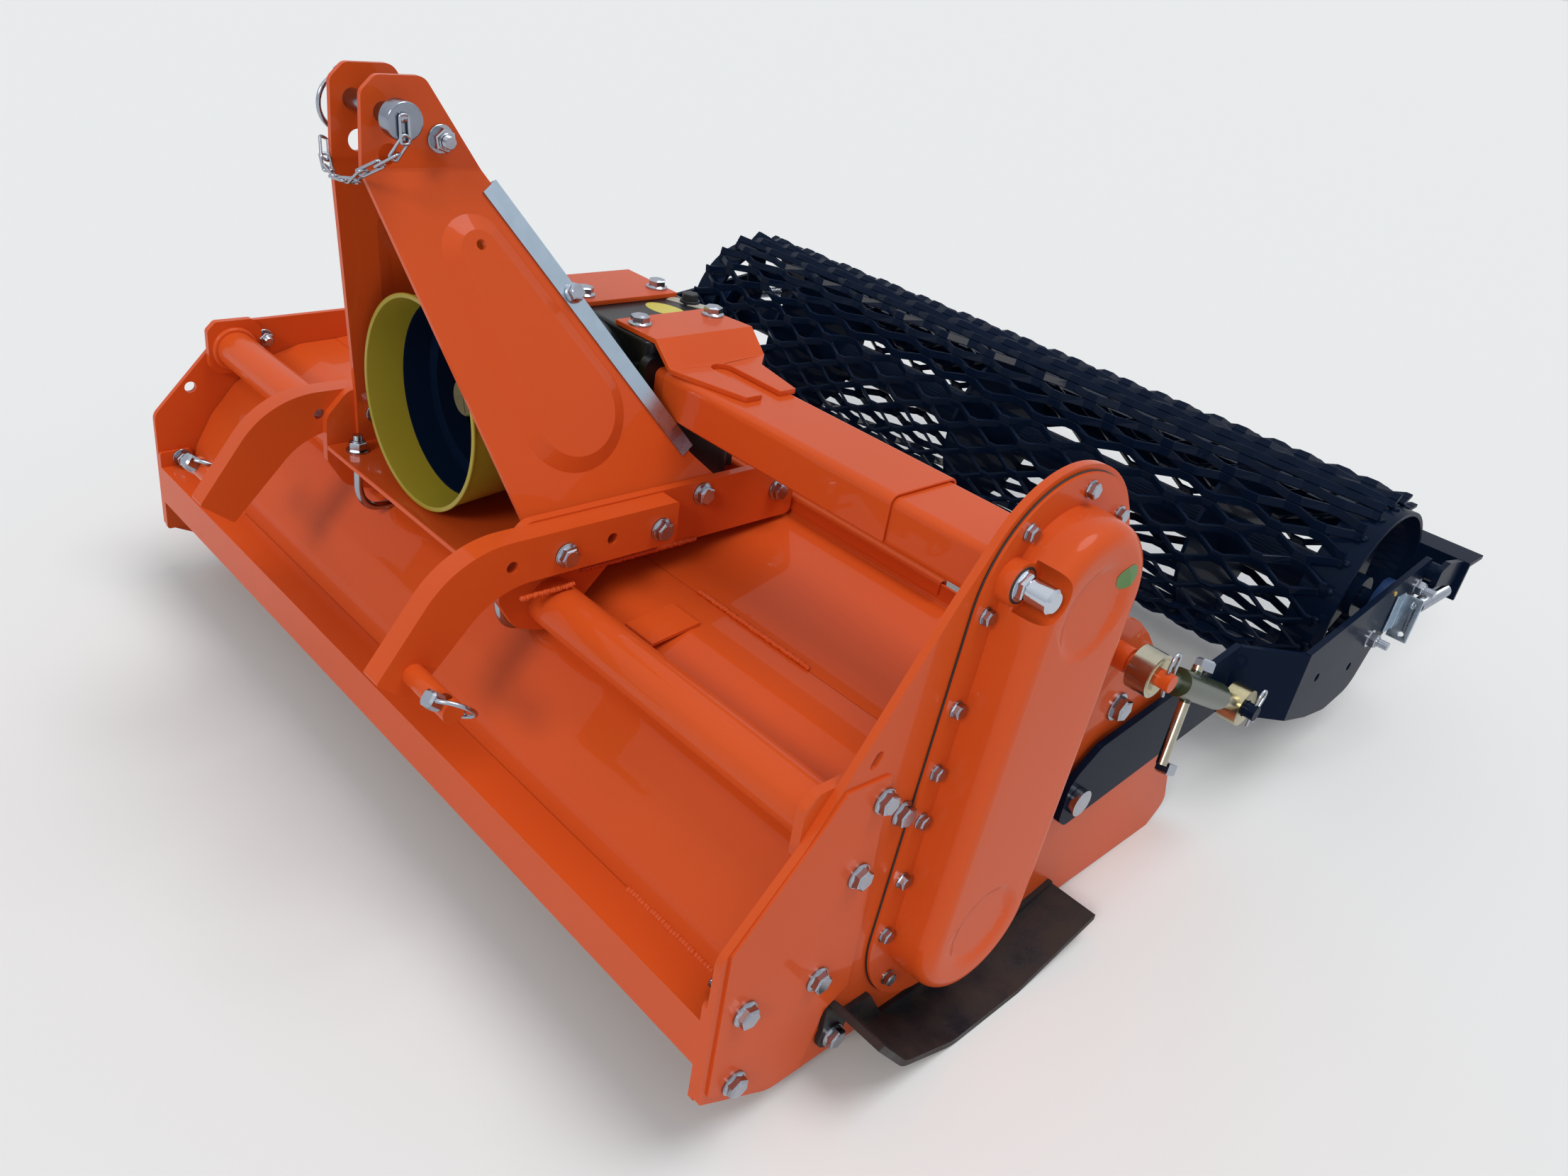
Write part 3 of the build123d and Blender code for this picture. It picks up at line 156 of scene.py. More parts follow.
def surface(name, look, kind, tone, bump):
    material, nodes, links, shader = newMaterial(name)
    patches = noiseOn(nodes, links, *kind["patches"])
    links.new(mottled(nodes, links, patches, look["colour"], *tone), shader.inputs["Base Color"])
    smears = noiseOn(nodes, links, *kind["smears"]) if "smears" in kind else patches
    rough = [look["roughness"] * share for share in kind["sheen"]]
    links.new(spread(nodes, links, smears, *rough), shader.inputs["Roughness"])
    fine = noiseOn(nodes, links, *kind["fine"])
    roughen(nodes, links, shader, fine, bump)
    return material, shader


def enamel(name, look):
    kind = grain["enamel"]
    material, shader = surface(name, look, kind, kind["tone"], look["peel"])
    shader.inputs["Specular IOR Level"].default_value = look["shine"]
    shader.inputs["Coat Weight"].default_value = look["coat"]
    shader.inputs["Coat Roughness"].default_value = kind["coatRoughness"]
    return material


def metal(name, look):
    kind = grain["metal"]
    tone = (1 - look["mottle"], 1 + look["mottle"] / 2)
    material, shader = surface(name, look, kind, tone, kind["bump"])
    shader.inputs["Metallic"].default_value = 1.0
    return material


def plastic(name, look):
    kind = grain["plastic"]
    material, shader = surface(name, look, kind, kind["tone"], kind["bump"])
    return material


plastics = {
    "shieldYellow": {"colour": (0.33, 0.26, 0.018), "roughness": 0.42, "slot": "yellow_plastic"},
    "gasket": {"colour": (0.010, 0.010, 0.010), "roughness": 0.55, "slot": "gasket_rubber"},
    "capOlive": {"colour": (0.10, 0.085, 0.035), "roughness": 0.45, "slot": "yellow_plastic"},
    "labelGreen": {"colour": (0.075, 0.20, 0.035), "roughness": 0.40, "slot": "machine_orange"},
    "labelYellow": {"colour": (0.60, 0.52, 0.08), "roughness": 0.40, "slot": "yellow_plastic"},
    "labelGrey": {"colour": (0.42, 0.40, 0.34), "roughness": 0.40, "slot": "zinc"},
}

paint = {}  # material of each finish
slots = {}  # the record's slot of each finish
for group, maker in ((finishes, enamel), (metals, metal), (plastics, plastic)):
    for name, look in group.items():
        paint[name] = maker(name, look)
        slots[name] = look["slot"]


def awayFromLine(nodes, links, origin, along):  # distance of a point from a line on the machine
    place = nodes.new("ShaderNodeTexCoord")
    offset = nodes.new("ShaderNodeVectorMath")
    offset.operation = "SUBTRACT"
    offset.inputs[1].default_value = machine @ Vector(origin)
    links.new(place.outputs["Object"], offset.inputs[0])
    crossed = nodes.new("ShaderNodeVectorMath")
    crossed.operation = "CROSS_PRODUCT"
    crossed.inputs[1].default_value = (machine.to_3x3() @ Vector(along)).normalized()
    links.new(offset.outputs[0], crossed.inputs[0])
    reach = nodes.new("ShaderNodeVectorMath")
    reach.operation = "LENGTH"
    links.new(crossed.outputs[0], reach.inputs[0])
    return reach.outputs["Value"]


def combine(nodes, links, operation, first, second):
    step = nodes.new("ShaderNodeMath")
    step.operation = operation
    for socket, value in zip(step.inputs, (first, second)):
        if isinstance(value, float):
            socket.default_value = value
        else:
            links.new(value, socket)
    return step.outputs["Value"]


# Turnbuckle barrel: dark green body, bare zinc on its front eye and its two ends

barrelPaint = {
    "green": (0.028, 0.040, 0.018), "greenTone": (0.8, 1.3),
    "zinc": (0.46, 0.43, 0.34), "zincTone": (0.85, 1),
    "x": 650, "front": (505, 352), "rear": (786, 209), "eyeRadius": 27, "bodyRadius": 19,
    "roughness": 0.25, "polish": 0.8, "streaks": (70, 3),
}


def makeBarrelPaint(name, sign):
    material, nodes, links, shader = newMaterial(name)
    front = Vector((sign * barrelPaint["x"], *barrelPaint["front"]))
    rear = Vector((sign * barrelPaint["x"], *barrelPaint["rear"]))
    fromEye = awayFromLine(nodes, links, front, (1, 0, 0))
    fromBar = awayFromLine(nodes, links, front, rear - front)
    inEye = combine(nodes, links, "LESS_THAN", fromEye, barrelPaint["eyeRadius"] * mm)
    offBar = combine(nodes, links, "GREATER_THAN", fromBar, barrelPaint["bodyRadius"] * mm)
    bare = combine(nodes, links, "MAXIMUM", inEye, offBar)
    colour = nodes.new("ShaderNodeMix")
    colour.data_type = "RGBA"
    links.new(bare, colour.inputs["Factor"])
    streaks = noiseOn(nodes, links, *barrelPaint["streaks"])
    for key, socket in (("green", "A"), ("zinc", "B")):
        tones = barrelPaint[key + "Tone"]
        links.new(mottled(nodes, links, streaks, barrelPaint[key], *tones), colour.inputs[socket])
    links.new(colour.outputs["Result"], shader.inputs["Base Color"])
    links.new(bare, shader.inputs["Metallic"])
    rough = barrelPaint["roughness"]
    links.new(spread(nodes, links, streaks, rough * barrelPaint["polish"], rough), shader.inputs["Roughness"])
    return material


# Skid: black paint that the ground has begun to wear

skidPaint = {
    "black": (0.006, 0.008, 0.013), "rust": (0.030, 0.018, 0.014), "roughness": (0.336, 0.672),
    "wear": (26, 6), "grit": (300, 4), "bump": 0.25, "shine": 0.3,
}


def makeSkidPaint():
    material, nodes, links, shader = newMaterial("skidBlack")
    wear = noiseOn(nodes, links, *skidPaint["wear"])
    worn = shades(nodes, links, wear, skidPaint["black"], skidPaint["rust"])
    links.new(worn, shader.inputs["Base Color"])
    links.new(spread(nodes, links, wear, *skidPaint["roughness"]), shader.inputs["Roughness"])
    grit = noiseOn(nodes, links, *skidPaint["grit"])
    roughen(nodes, links, shader, grit, skidPaint["bump"])
    shader.inputs["Specular IOR Level"].default_value = skidPaint["shine"]
    return material


for side, sign in (("Near", 1), ("Far", -1)):
    paint["barrel" + side] = makeBarrelPaint("barrel" + side, sign)
    slots["barrel" + side] = "barrel_green"
paint["skidBlack"] = makeSkidPaint()
slots["skidBlack"] = "gloss_black"
nodeFinish = {  # nodes whose finish isn't their slot's first one
    "screw_barrel_left": "barrelNear", "screw_barrel_right": "barrelFar",
    "skid_left": "skidBlack", "skid_right": "skidBlack", "top_link_pin": "pinSteel",
}
slotFinish = {look: name for name, look in reversed(slots.items())}
print("materials made,", len(paint))


# The CAD nodes keep their shapes and get their finish, with eased edges

edgeEase = {
    "weld": 0.00001, "width": 0.0009, "segments": 2, "flatWeight": 90, "angle": 32,
    "pressedAngle": {"headstock_plate_left": 13, "headstock_plate_right": 13, "front_cover": 20,
                     "rear_deck": 16},
}


def easeEdges(piece):
    weld = piece.modifiers.new("weld", "WELD")
    weld.merge_threshold = edgeEase["weld"]
    ease = piece.modifiers.new("ease", "BEVEL")
    ease.width = edgeEase["width"]
    ease.segments = edgeEase["segments"]
    ease.limit_method = "ANGLE"
    ease.angle_limit = math.radians(edgeEase["pressedAngle"].get(piece.name, edgeEase["angle"]))
    ease.use_clamp_overlap = True
    flatten = piece.modifiers.new("flatten", "WEIGHTED_NORMAL")
    flatten.weight = edgeEase["flatWeight"]
    flatten.keep_sharp = True


for subpart in frame["record"]["subparts"]:
    node = frame["nodes"][subpart["node"]]
    node.data.materials.clear()
    finish = nodeFinish.get(subpart["node"], slotFinish[subpart["material_slot"]])
    node.data.materials.append(paint[finish])
    for face in node.data.polygons:
        face.use_smooth = True
    easeEdges(node)
print("frame nodes finished")


# Building helpers, in machine millimetres

sideways = Vector((1, 0, 0))
rearward = Vector((0, 1, 0))
upright = Vector((0, 0, 1))
hair = 0.001  # points closer than this are one


def aim(axis):
    return Vector(axis).to_track_quat("Z", "Y").to_matrix().to_4x4()


def at(place, axis=(0, 0, 1), turn=0.0):
    return Matrix.Translation(place) @ aim(axis) @ Matrix.Rotation(math.radians(turn), 4, "Z")


def softenTop(bm, verts, height, width):
    top = {v for v in verts if abs(v.co.z - height) < hair}
    rim = [edge for edge in bm.edges if edge.verts[0] in top and edge.verts[1] in top]
    bmesh.ops.bevel(bm, geom=rim, offset=width, segments=1, profile=0.5, affect="EDGES", material=-1)


def disc(bm, radius, low, high, ease=0.0, sides=24):
    middle = Matrix.Translation((0, 0, (low + high) / 2))
    made = bmesh.ops.create_cone(bm, cap_ends=True, segments=sides, radius1=radius, radius2=radius,
                                 depth=high - low, matrix=middle)
    if ease:
        softenTop(bm, made["verts"], high, ease)


def keep(bm, name):
    mesh = bpy.data.meshes.new(name)
    bm.to_mesh(mesh)
    bm.free()
    return mesh


def move(bm, matrix):
    bmesh.ops.transform(bm, matrix=matrix, verts=bm.verts)


def toScene(name, data):
    thing = bpy.data.objects.new(name, data)
    bpy.context.scene.collection.objects.link(thing)
    return thing


def addCopy(target, template, matrix):
    copy = template.copy()
    copy.transform(matrix)
    target.from_mesh(copy)
    bpy.data.meshes.remove(copy)


def stamp(target, template, place, axis=(0, 0, 1), turn=0.0):
    addCopy(target, template, at(place, axis, turn))


def wireSection(bm, wire, around, radius):  # a circle of wire, ready to be spun round z
    verts = bmesh.ops.create_circle(bm, segments=around, radius=wire)["verts"]
    edges = list({edge for v in verts for edge in v.link_edges})
    bmesh.ops.rotate(bm, verts=verts, matrix=Matrix.Rotation(math.radians(90), 3, "X"))
    bmesh.ops.translate(bm, verts=verts, vec=(radius, 0, 0))
    return verts, edges


def ringOf(bm, place, axis, radius, wire, sides=40, around=10):
    before = set(bm.verts)
    verts, edges = wireSection(bm, wire, around, radius)
    bmesh.ops.spin(bm, geom=verts + edges, cent=(0, 0, 0), axis=(0, 0, 1), angle=math.tau, steps=sides,
                   use_merge=True)
    fresh = [v for v in bm.verts if v not in before]
    bmesh.ops.remove_doubles(bm, verts=fresh, dist=hair)
    fresh = [v for v in bm.verts if v not in before]
    bmesh.ops.transform(bm, matrix=at(place, axis), verts=fresh)


def addWire(target, points, wire, closed=False, around=3, fine=8):  # a round wire along a smooth curve
    line = bpy.data.curves.new("wire", "CURVE")
    line.dimensions = "3D"
    line.bevel_depth = wire
    line.bevel_resolution = around
    line.resolution_u = fine
    line.use_fill_caps = True
    run = line.splines.new("NURBS")
    run.points.add(len(points) - 1)
    for slotPoint, point in zip(run.points, points):
        slotPoint.co = (*point, 1)
    run.order_u = 3
    run.use_cyclic_u = closed
    run.use_endpoint_u = not closed
    holder = bpy.data.objects.new("wire", line)
    mesh = bpy.data.meshes.new_from_object(holder)
    target.from_mesh(mesh)
    bpy.data.objects.remove(holder)
    bpy.data.curves.remove(line)
    bpy.data.meshes.remove(mesh)


def slabOf(bm, outline, low, high, ease=0.0):  # an outline raised from one height to another
    verts = [bm.verts.new((a, b, low)) for a, b in outline]
    face = bm.faces.new(verts)
    raised = bmesh.ops.extrude_face_region(bm, geom=[face])["geom"]
    tops = [part for part in raised if isinstance(part, bmesh.types.BMVert)]
    bmesh.ops.translate(bm, verts=tops, vec=(0, 0, high - low))
    if ease:
        softenTop(bm, tops, high, ease)


def oblong(halfLong, halfWide):
    return [(-halfLong, -halfWide), (halfLong, -halfWide), (halfLong, halfWide), (-halfLong, halfWide)]


def onCircle(centre, radius, degrees):
    angle = math.radians(degrees)
    return (centre[0] + radius * math.cos(angle), centre[1] + radius * math.sin(angle))


def newPiece(name, bm, finish, body, sharp=35):
    move(bm, machine)
    bmesh.ops.recalc_face_normals(bm, faces=bm.faces)
    mesh = keep(bm, name)
    for face in mesh.polygons:
        face.use_smooth = True
    mesh.set_sharp_from_angle(angle=math.radians(sharp))
    piece = toScene(name, mesh)
    mesh.materials.append(paint[finish])
    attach(piece, body)
    return piece


# Bolts, nuts and washers: each template stands on its seat and looks up

fastener = {  # width across flats, head height, washer radius and thickness, thread radius
    "m8": {"flats": 13, "head": 5.5, "washer": 8.5, "plate": 1.6, "shank": 4, "flange": False},
    "m10": {"flats": 16, "head": 6.6, "washer": 10.5, "plate": 2.0, "shank": 5, "flange": True},
    "m12": {"flats": 19, "head": 8, "washer": 13.0, "plate": 2.5, "shank": 6, "flange": True},
    "m16": {"flats": 24, "head": 10, "washer": 17.0, "plate": 3.0, "shank": 8, "flange": False},
}
boltForm = {  # shares are of the width across flats
    "chamferShare": 0.06, "flangeShares": (0.62, 0.5), "flangeTall": 1.6, "washerEase": 0.4,
    "crownShare": 0.43, "crownTall": 0.35, "crownEase": 0.3, "sunk": 0.5,
    "nutTall": 1.2, "collarShare": 0.40, "collarTall": 1.6, "collarEase": 0.7, "pitch": 1.5, "root": 0.88,
}


def hexagon(bm, flats, low, high):
    disc(bm, flats / 2 / math.cos(math.radians(30)), low, high, flats * boltForm["chamferShare"], 6)


def makeHead(size):
    bm = bmesh.new()
    seat = size["plate"]
    top = seat + size["head"]
    disc(bm, size["washer"], 0, seat, boltForm["washerEase"])
    if size["flange"]:
        wide, narrow = [size["flats"] * share for share in boltForm["flangeShares"]]
        tall = boltForm["flangeTall"]
        bmesh.ops.create_cone(bm, cap_ends=True, segments=24, radius1=wide, radius2=narrow, depth=tall,
                              matrix=Matrix.Translation((0, 0, seat + tall / 2)))
    hexagon(bm, size["flats"], seat, top)
    disc(bm, size["flats"] * boltForm["crownShare"], top - boltForm["sunk"], top + boltForm["crownTall"],
         boltForm["crownEase"], 20)
    return keep(bm, "boltHead")


def threadOn(bm, radius, low, high):
    turns = max(1, int((high - low) / boltForm["pitch"]))
    step = (high - low) / turns
    root = boltForm["root"]
    for i in range(turns):
        for share, first, last in ((0.25, root, 1), (0.75, 1, root)):
            middle = Matrix.Translation((0, 0, low + step * (i + share)))
            bmesh.ops.create_cone(bm, cap_ends=True, segments=16, radius1=radius * first,
                                  radius2=radius * last, depth=step / 2, matrix=middle)


def makeNut(size, standing):  # standing is the free end of the thread, in shank radii
    bm = bmesh.new()
    seat = size["plate"]
    top = seat + size["head"] * boltForm["nutTall"]
    rim = top + boltForm["collarTall"]
    disc(bm, size["washer"], 0, seat, boltForm["washerEase"])
    hexagon(bm, size["flats"], seat, top)
    disc(bm, size["flats"] * boltForm["collarShare"], top - boltForm["sunk"], rim, boltForm["collarEase"], 20)
    threadOn(bm, size["shank"], top, rim + size["shank"] * standing)
    return keep(bm, "nut")


heads = {name: makeHead(size) for name, size in fastener.items()}
nut = makeNut(fastener["m12"], 1.0)
longNut = makeNut(fastener["m12"], 2.2)
print("fasteners ready,", len(heads) + 2, "templates")


def boltBothSides(bm, table):  # the same on both sides: heads look outwards, nuts inwards
    for sign in (1, -1):
        out = sideways * sign
        for size, faces, first, further, places in table["heads"]:
            face = faces[0] if sign > 0 else faces[1]
            for i, (y, z) in enumerate(places):
                stamp(bm, heads[size], (sign * face, y, z), out, first + further * i)
        for face, turn, places in table["nuts"]:
            for y, z in places:
                stamp(bm, nut, (sign * face, y, z), -out, turn)


def stack(steps):  # discs one on another: radius, low, high, ease, sides
    bm = bmesh.new()
    for step in steps:
        disc(bm, *step)
    return bm


def makeFitting(name, steps, place, axis, finish):
    bm = stack(steps)
    move(bm, at(place, axis))
    newPiece(name, bm, finish, "frame")


# Chain case: flange bolts round the slot, breather and blank label

chainCase = {
    "low": (308, 126), "high": (336, 474), "face": 615, "boltRing": 96, "turn": 23,
    "straight": (0, 66, 134, 187, 253), "topTurns": (-93, -49, -4, 46, 93), "lowTurns": (135, 180, -135),
}
breather = {
    "place": (628, 262, 506), "seal": ((17, -1.5, 0.8, 0.5, 24),),
    "steps": ((15, 0, 1.6, 0.5, 24), (13.5, 1.6, 8.5, 1.2, 6), (9.5, 8, 11, 0, 24), (11.5, 10, 33, 2.5, 40)),
}
caseLabel = {"centre": (700, 376, 499), "radius": 12.5, "lift": 0.35, "sides": 40, "cuts": 5}


def caseSpots():
    low = Vector(chainCase["low"])
    high = Vector(chainCase["high"])
    along = (high - low).normalized()
    across = Vector((-along.y, along.x))
    spots = []
    for side in (-1, 1):
        for reach in chainCase["straight"]:
            spots.append(low + along * reach + across * side * chainCase["boltRing"])
    for centre, turns in ((high, chainCase["topTurns"]), (low, chainCase["lowTurns"])):
        for turn in turns:
            angle = math.radians(turn)
            out = along * math.cos(angle) + across * math.sin(angle)
            spots.append(centre + out * chainCase["boltRing"])
    return spots


def makeChainCaseBolts():
    bm = bmesh.new()
    for i, (y, z) in enumerate(caseSpots()):
        stamp(bm, heads["m8"], (chainCase["face"], y, z), sideways, chainCase["turn"] * i)
    newPiece("chainCaseBolts", bm, "zinc", "frame")


def makeCaseLabel():  # a round label let down on the pressed face
    case = frame["nodes"]["chain_case"].data
    skin = BVHTree.FromPolygons([v.co for v in case.vertices], [p.vertices for p in case.polygons])
    bm = bmesh.new()
    bmesh.ops.create_circle(bm, cap_ends=True, segments=caseLabel["sides"], radius=caseLabel["radius"])
    bmesh.ops.poke(bm, faces=bm.faces)
    bmesh.ops.subdivide_edges(bm, edges=bm.edges, cuts=caseLabel["cuts"], use_grid_fill=True)
    move(bm, at(caseLabel["centre"], sideways))
    move(bm, machine)
    for vert in bm.verts:
        hit = skin.ray_cast(vert.co, (-1, 0, 0))[0]
        vert.co = hit + Vector((caseLabel["lift"] * mm, 0, 0))
    move(bm, machine.inverted())
    newPiece("caseLabel", bm, "labelGreen", "frame", 80)


makeChainCaseBolts()
makeFitting("breather", breather["steps"], breather["place"], sideways, "chrome")
makeFitting("breatherSeal", breather["seal"], breather["place"], sideways, "gasket")
makeCaseLabel()

# Side plates: bolts of beam, tube flange, skids and arms, and the bolts of the axle housing's flange

sideBolts = {
    "heads": (  # size, near and far face, first turn, further turn of each next one, places
        ("m12", (612.5, 610), 0, 17, ((37, 55), (35, 144), (125, 128), (151, 238), (163, 316))),
        ("m12", (610, 610), 8, 0, ((197, 285),)),
        ("m16", (610, 610), 11, 0, ((551, 268),)),
        ("m12", (616, 616), 5, 0, ((163, 33),)),
    ),
    "nuts": (  # face, turn, places
        (596, 12, ((29, 154),)), (602, 12, ((157, 314),)), (602, 3, ((551, 274),)),
    ),
    "housing": ((292, 505), (376, 444), (376, 505), (292, 444)), "housingFace": 594, "housingTurn": 9,
}
skidTab = {
    "centre": (163, 33), "radius": 17, "arc": range(150, 331, 20), "rear": [(184, 38), (157, 71), (149, 71)],
    "from": 610.2, "thick": 5.7, "ease": 0.6,
}
hub = {
    "centre": (308, 126), "face": -632, "ring": 46, "bolts": 6, "turn": 13,
    "nippleUp": 8, "nipple": ((4.5, 0, 4, 0.6, 6), (3, 4, 8, 1.0, 16)),
}


def makeSideBolts():
    bm = bmesh.new()
    boltBothSides(bm, sideBolts)
    for y, z in sideBolts["housing"]:
        stamp(bm, heads["m10"], (sideBolts["housingFace"], y, z), -sideways, sideBolts["housingTurn"])
    newPiece("sidePlateBolts", bm, "zinc", "frame")


def makeSkidTabs():
    outline = [onCircle(skidTab["centre"], skidTab["radius"], turn) for turn in skidTab["arc"]]
    tab = bmesh.new()
    slabOf(tab, outline + skidTab["rear"], 0, skidTab["thick"], skidTab["ease"])
    mesh = keep(tab, "skidTab")
    bm = bmesh.new()
    for sign in (1, -1):
        lay = Matrix(((0, 0, sign, sign * skidTab["from"]), (1, 0, 0, 0), (0, 1, 0, 0), (0, 0, 0, 1)))
        addCopy(bm, mesh, lay)
    newPiece("skidTabs", bm, "skidBlack", "frame")


def makeHubBolts():
    bm = bmesh.new()
    for i in range(hub["bolts"]):
        spot = onCircle(hub["centre"], hub["ring"], 360 * (i + 0.5) / hub["bolts"])
        stamp(bm, heads["m10"], (hub["face"], *spot), -sideways, hub["turn"] * i)
    newPiece("hubBolts", bm, "zinc", "frame")
    y, z = hub["centre"]
    makeFitting("hubNipple", hub["nipple"], (hub["face"], y, z + hub["nippleUp"]), -sideways, "brass")


makeSideBolts()
makeSkidTabs()
makeHubBolts()

# Headstock: bolts of link arms, members, spacer and guards, base nuts and the tube's U-bolts

hitch = {
    "heads": (  # as on the side plates
        ("m12", (216, 216), 14, 21, ((228, 373), (110, 372))),
        ("m12", (190, 190), 4, 15, ((304, 387), (420, 368))),
    ),
    "nuts": ((174, 6, ((228, 373), (110, 372))),),
    "spacer": (72, 725), "plateFace": 32, "spacerTurn": 10,
    "guard": (191, -122), "guardFace": 2.2, "guardTurn": 20, "flareStart": (32, 697), "flareEnd": (180, 390),
    "baseTop": 338, "baseTurn": 13,
}
uBolt = {
    "x": (-153, 153), "front": 76, "rear": 148, "end": 356, "bendTop": 314, "bendLow": 280, "low": 262,
    "bendIn": 14, "sag": 1, "wire": 5,
}


def flareSpot(sign, rear, down, out):  # a place on a headstock plate's flare, and the way it faces
    start = Vector((hitch["flareStart"][0], 0, hitch["flareStart"][1]))
    end = Vector((hitch["flareEnd"][0], 0, hitch["flareEnd"][1]))
    slope = (end - start).normalized()
    normal = Vector((-slope.z, 0, slope.x))
    spot = start + slope * -down + normal * out + Vector((0, rear, 0))
    return (Vector((sign * spot.x, spot.y, spot.z)), Vector((sign * normal.x, 0, normal.z)))


def makeHitchBolts():
    bm = bmesh.new()
    boltBothSides(bm, hitch)
    for sign in (1, -1):
        place, normal = flareSpot(sign, *hitch["guard"], hitch["guardFace"])
        stamp(bm, heads["m10"], place, normal, hitch["guardTurn"])
    y, z = hitch["spacer"]
    stamp(bm, nut, (hitch["plateFace"], y, z), sideways, hitch["spacerTurn"])
    stamp(bm, heads["m12"], (-hitch["plateFace"], y, z), -sideways)
    for x in uBolt["x"]:
        for y in (uBolt["front"], uBolt["rear"]):
            stamp(bm, nut, (x, y, hitch["baseTop"]), upright, hitch["baseTurn"])
    newPiece("hitchBolts", bm, "zinc", "frame")


def makeUBolts():
    bm = bmesh.new()
    front = uBolt["front"]
    middle = (front + uBolt["rear"]) / 2
    for x in uBolt["x"]:
        leg = [(x, front, uBolt["end"]), (x, front, uBolt["bendTop"]), (x, front, uBolt["bendLow"]),
               (x, front + uBolt["bendIn"], uBolt["low"]), (x, middle, uBolt["low"] - uBolt["sag"])]
        otherLeg = [(x, 2 * middle - y, z) for x, y, z in leg[:-1]]
        addWire(bm, leg + otherLeg[::-1], uBolt["wire"], around=4, fine=10)
    newPiece("tubeUBolts", bm, "zinc", "frame", 60)


makeHitchBolts()
makeUBolts()

# Lynch pins on the lower link pins and the top link pin: squared head, shank and spring ring

lynch = {
    "head": 16, "corner": 0.62, "headTall": 15, "headGap": 0.5, "headEase": 2.2, "headTurn": 12,
    "shank": 4.6, "shankLong": 9, "intoHead": 2, "tipLong": 3, "tip": 0.7, "ringRadius": 23.5, "wire": 2.3,
    "lower": (276, -54, 287), "pinRadius": 11, "lowerWay": (0, -0.757, 0.653), "lowerTwist": 60,
    "top": (-41, 17, 747), "topRadius": 9.5, "topTwist": 10,
    "lowerRing": (2.5, 3), "topRing": (8, 8),  # how far the ring's middle hangs down and stands out
}


def makeLynchPin(bm, centre, radius, way, outward, twist, hang):
    half = lynch["head"] / 2
    corner = half * lynch["corner"]
    outline = [(half, corner), (corner, half), (-corner, half), (-half, corner)]
    outline += [(-a, -b) for a, b in outline]
    neck = -radius - lynch["shankLong"]
    pin = bmesh.new()
    slabOf(pin, outline, radius + lynch["headGap"], radius + lynch["headTall"], lynch["headEase"])
    disc(pin, lynch["shank"], neck, radius + lynch["intoHead"], 0, 16)
    disc(pin, lynch["shank"] * lynch["tip"], neck - lynch["tipLong"], neck, 0, 16)
    stamp(bm, keep(pin, "lynchPin"), centre, way, lynch["headTurn"])
    way = Vector(way)
    turn = math.radians(twist)
    normal = sideways * outward * math.cos(turn) + sideways.cross(way) * math.sin(turn)
    drop, out = hang
    middle = Vector(centre) - way * drop + sideways * outward * out
    ringOf(bm, middle, normal, lynch["ringRadius"], lynch["wire"])


def makeLynchPins():
    bm = bmesh.new()
    x, y, z = lynch["lower"]
    for sign in (1, -1):
        makeLynchPin(bm, (sign * x, y, z), lynch["pinRadius"], lynch["lowerWay"], sign,
                     sign * lynch["lowerTwist"], lynch["lowerRing"])
    makeLynchPin(bm, lynch["top"], lynch["topRadius"], upright, -1, lynch["topTwist"], lynch["topRing"])
    newPiece("lynchPins", bm, "zinc", "frame", 40)


# Chain that keeps the top link pin: one link riveted on the pin's head, the others round the plates' fronts

pinChain = {
    "route": ((74.5, 14, 750), (74.5, 15, 733), (71, 7, 719), (62, -3, 710), (47, -11, 700), (34, -12, 690),
              (19, -14, 687), (3, -15, 686), (-15, -13, 689), (-31, -8, 696), (-43, -3, 707)),
    "wire": 1.5, "wide": 5.6, "shoulder": 1.0, "bow": 4.8, "rivet": ((4.2, -0.5, 3.6, 1.4, 20),),
    "rivetAt": (72, 14, 751),
}


def makePinChain():
    bm = bmesh.new()
    route = [Vector(point) for point in pinChain["route"]]
    half = pinChain["wide"] - pinChain["wire"]
    for i, (start, end) in enumerate(zip(route, route[1:])):
        along = (end - start).normalized()
        if i == 0:
            side = rearward
        else:
            side = along.cross(sideways if i % 2 else upright).normalized()
        middle = (start + end) / 2
        straight = (end - start).length / 2 - pinChain["shoulder"]
        tip = straight + pinChain["bow"]
        loop = [(straight, half), (tip, half), (tip, -half), (straight, -half)]
        loop += [(-a, -b) for a, b in loop]
        points = [middle + along * a + side * b for a, b in loop]
        addWire(bm, points, pinChain["wire"], closed=True, around=2, fine=5)
    stamp(bm, keep(stack(pinChain["rivet"]), "rivet"), pinChain["rivetAt"], sideways)
    newPiece("pinChain", bm, "zinc", "frame", 60)


makeLynchPins()
makePinChain()
print("case, side and hitch fasteners placed")

# Power take-off: black liner inside the yellow shield, and the plastic cap on the shaft's end

takeOff = {
    "height": 454, "linerFront": 107, "linerStep": 138, "linerRear": 164,
    "mouthRadius": 104.2, "stepRadius": 101.2, "throatRadius": 83, "wall": 1.6,
}
shaftCap = {
    "front": 120, "sleeve": ((122, 20), (186, 20), (186, 17.9), (122, 17.7)), "sides": 48,
    "lid": (20, -3, 0, 1.2, 48), "rib": (16, 0.8), "ribLow": -1, "ribHigh": 0.7, "ribTurns": (20, 110),
}


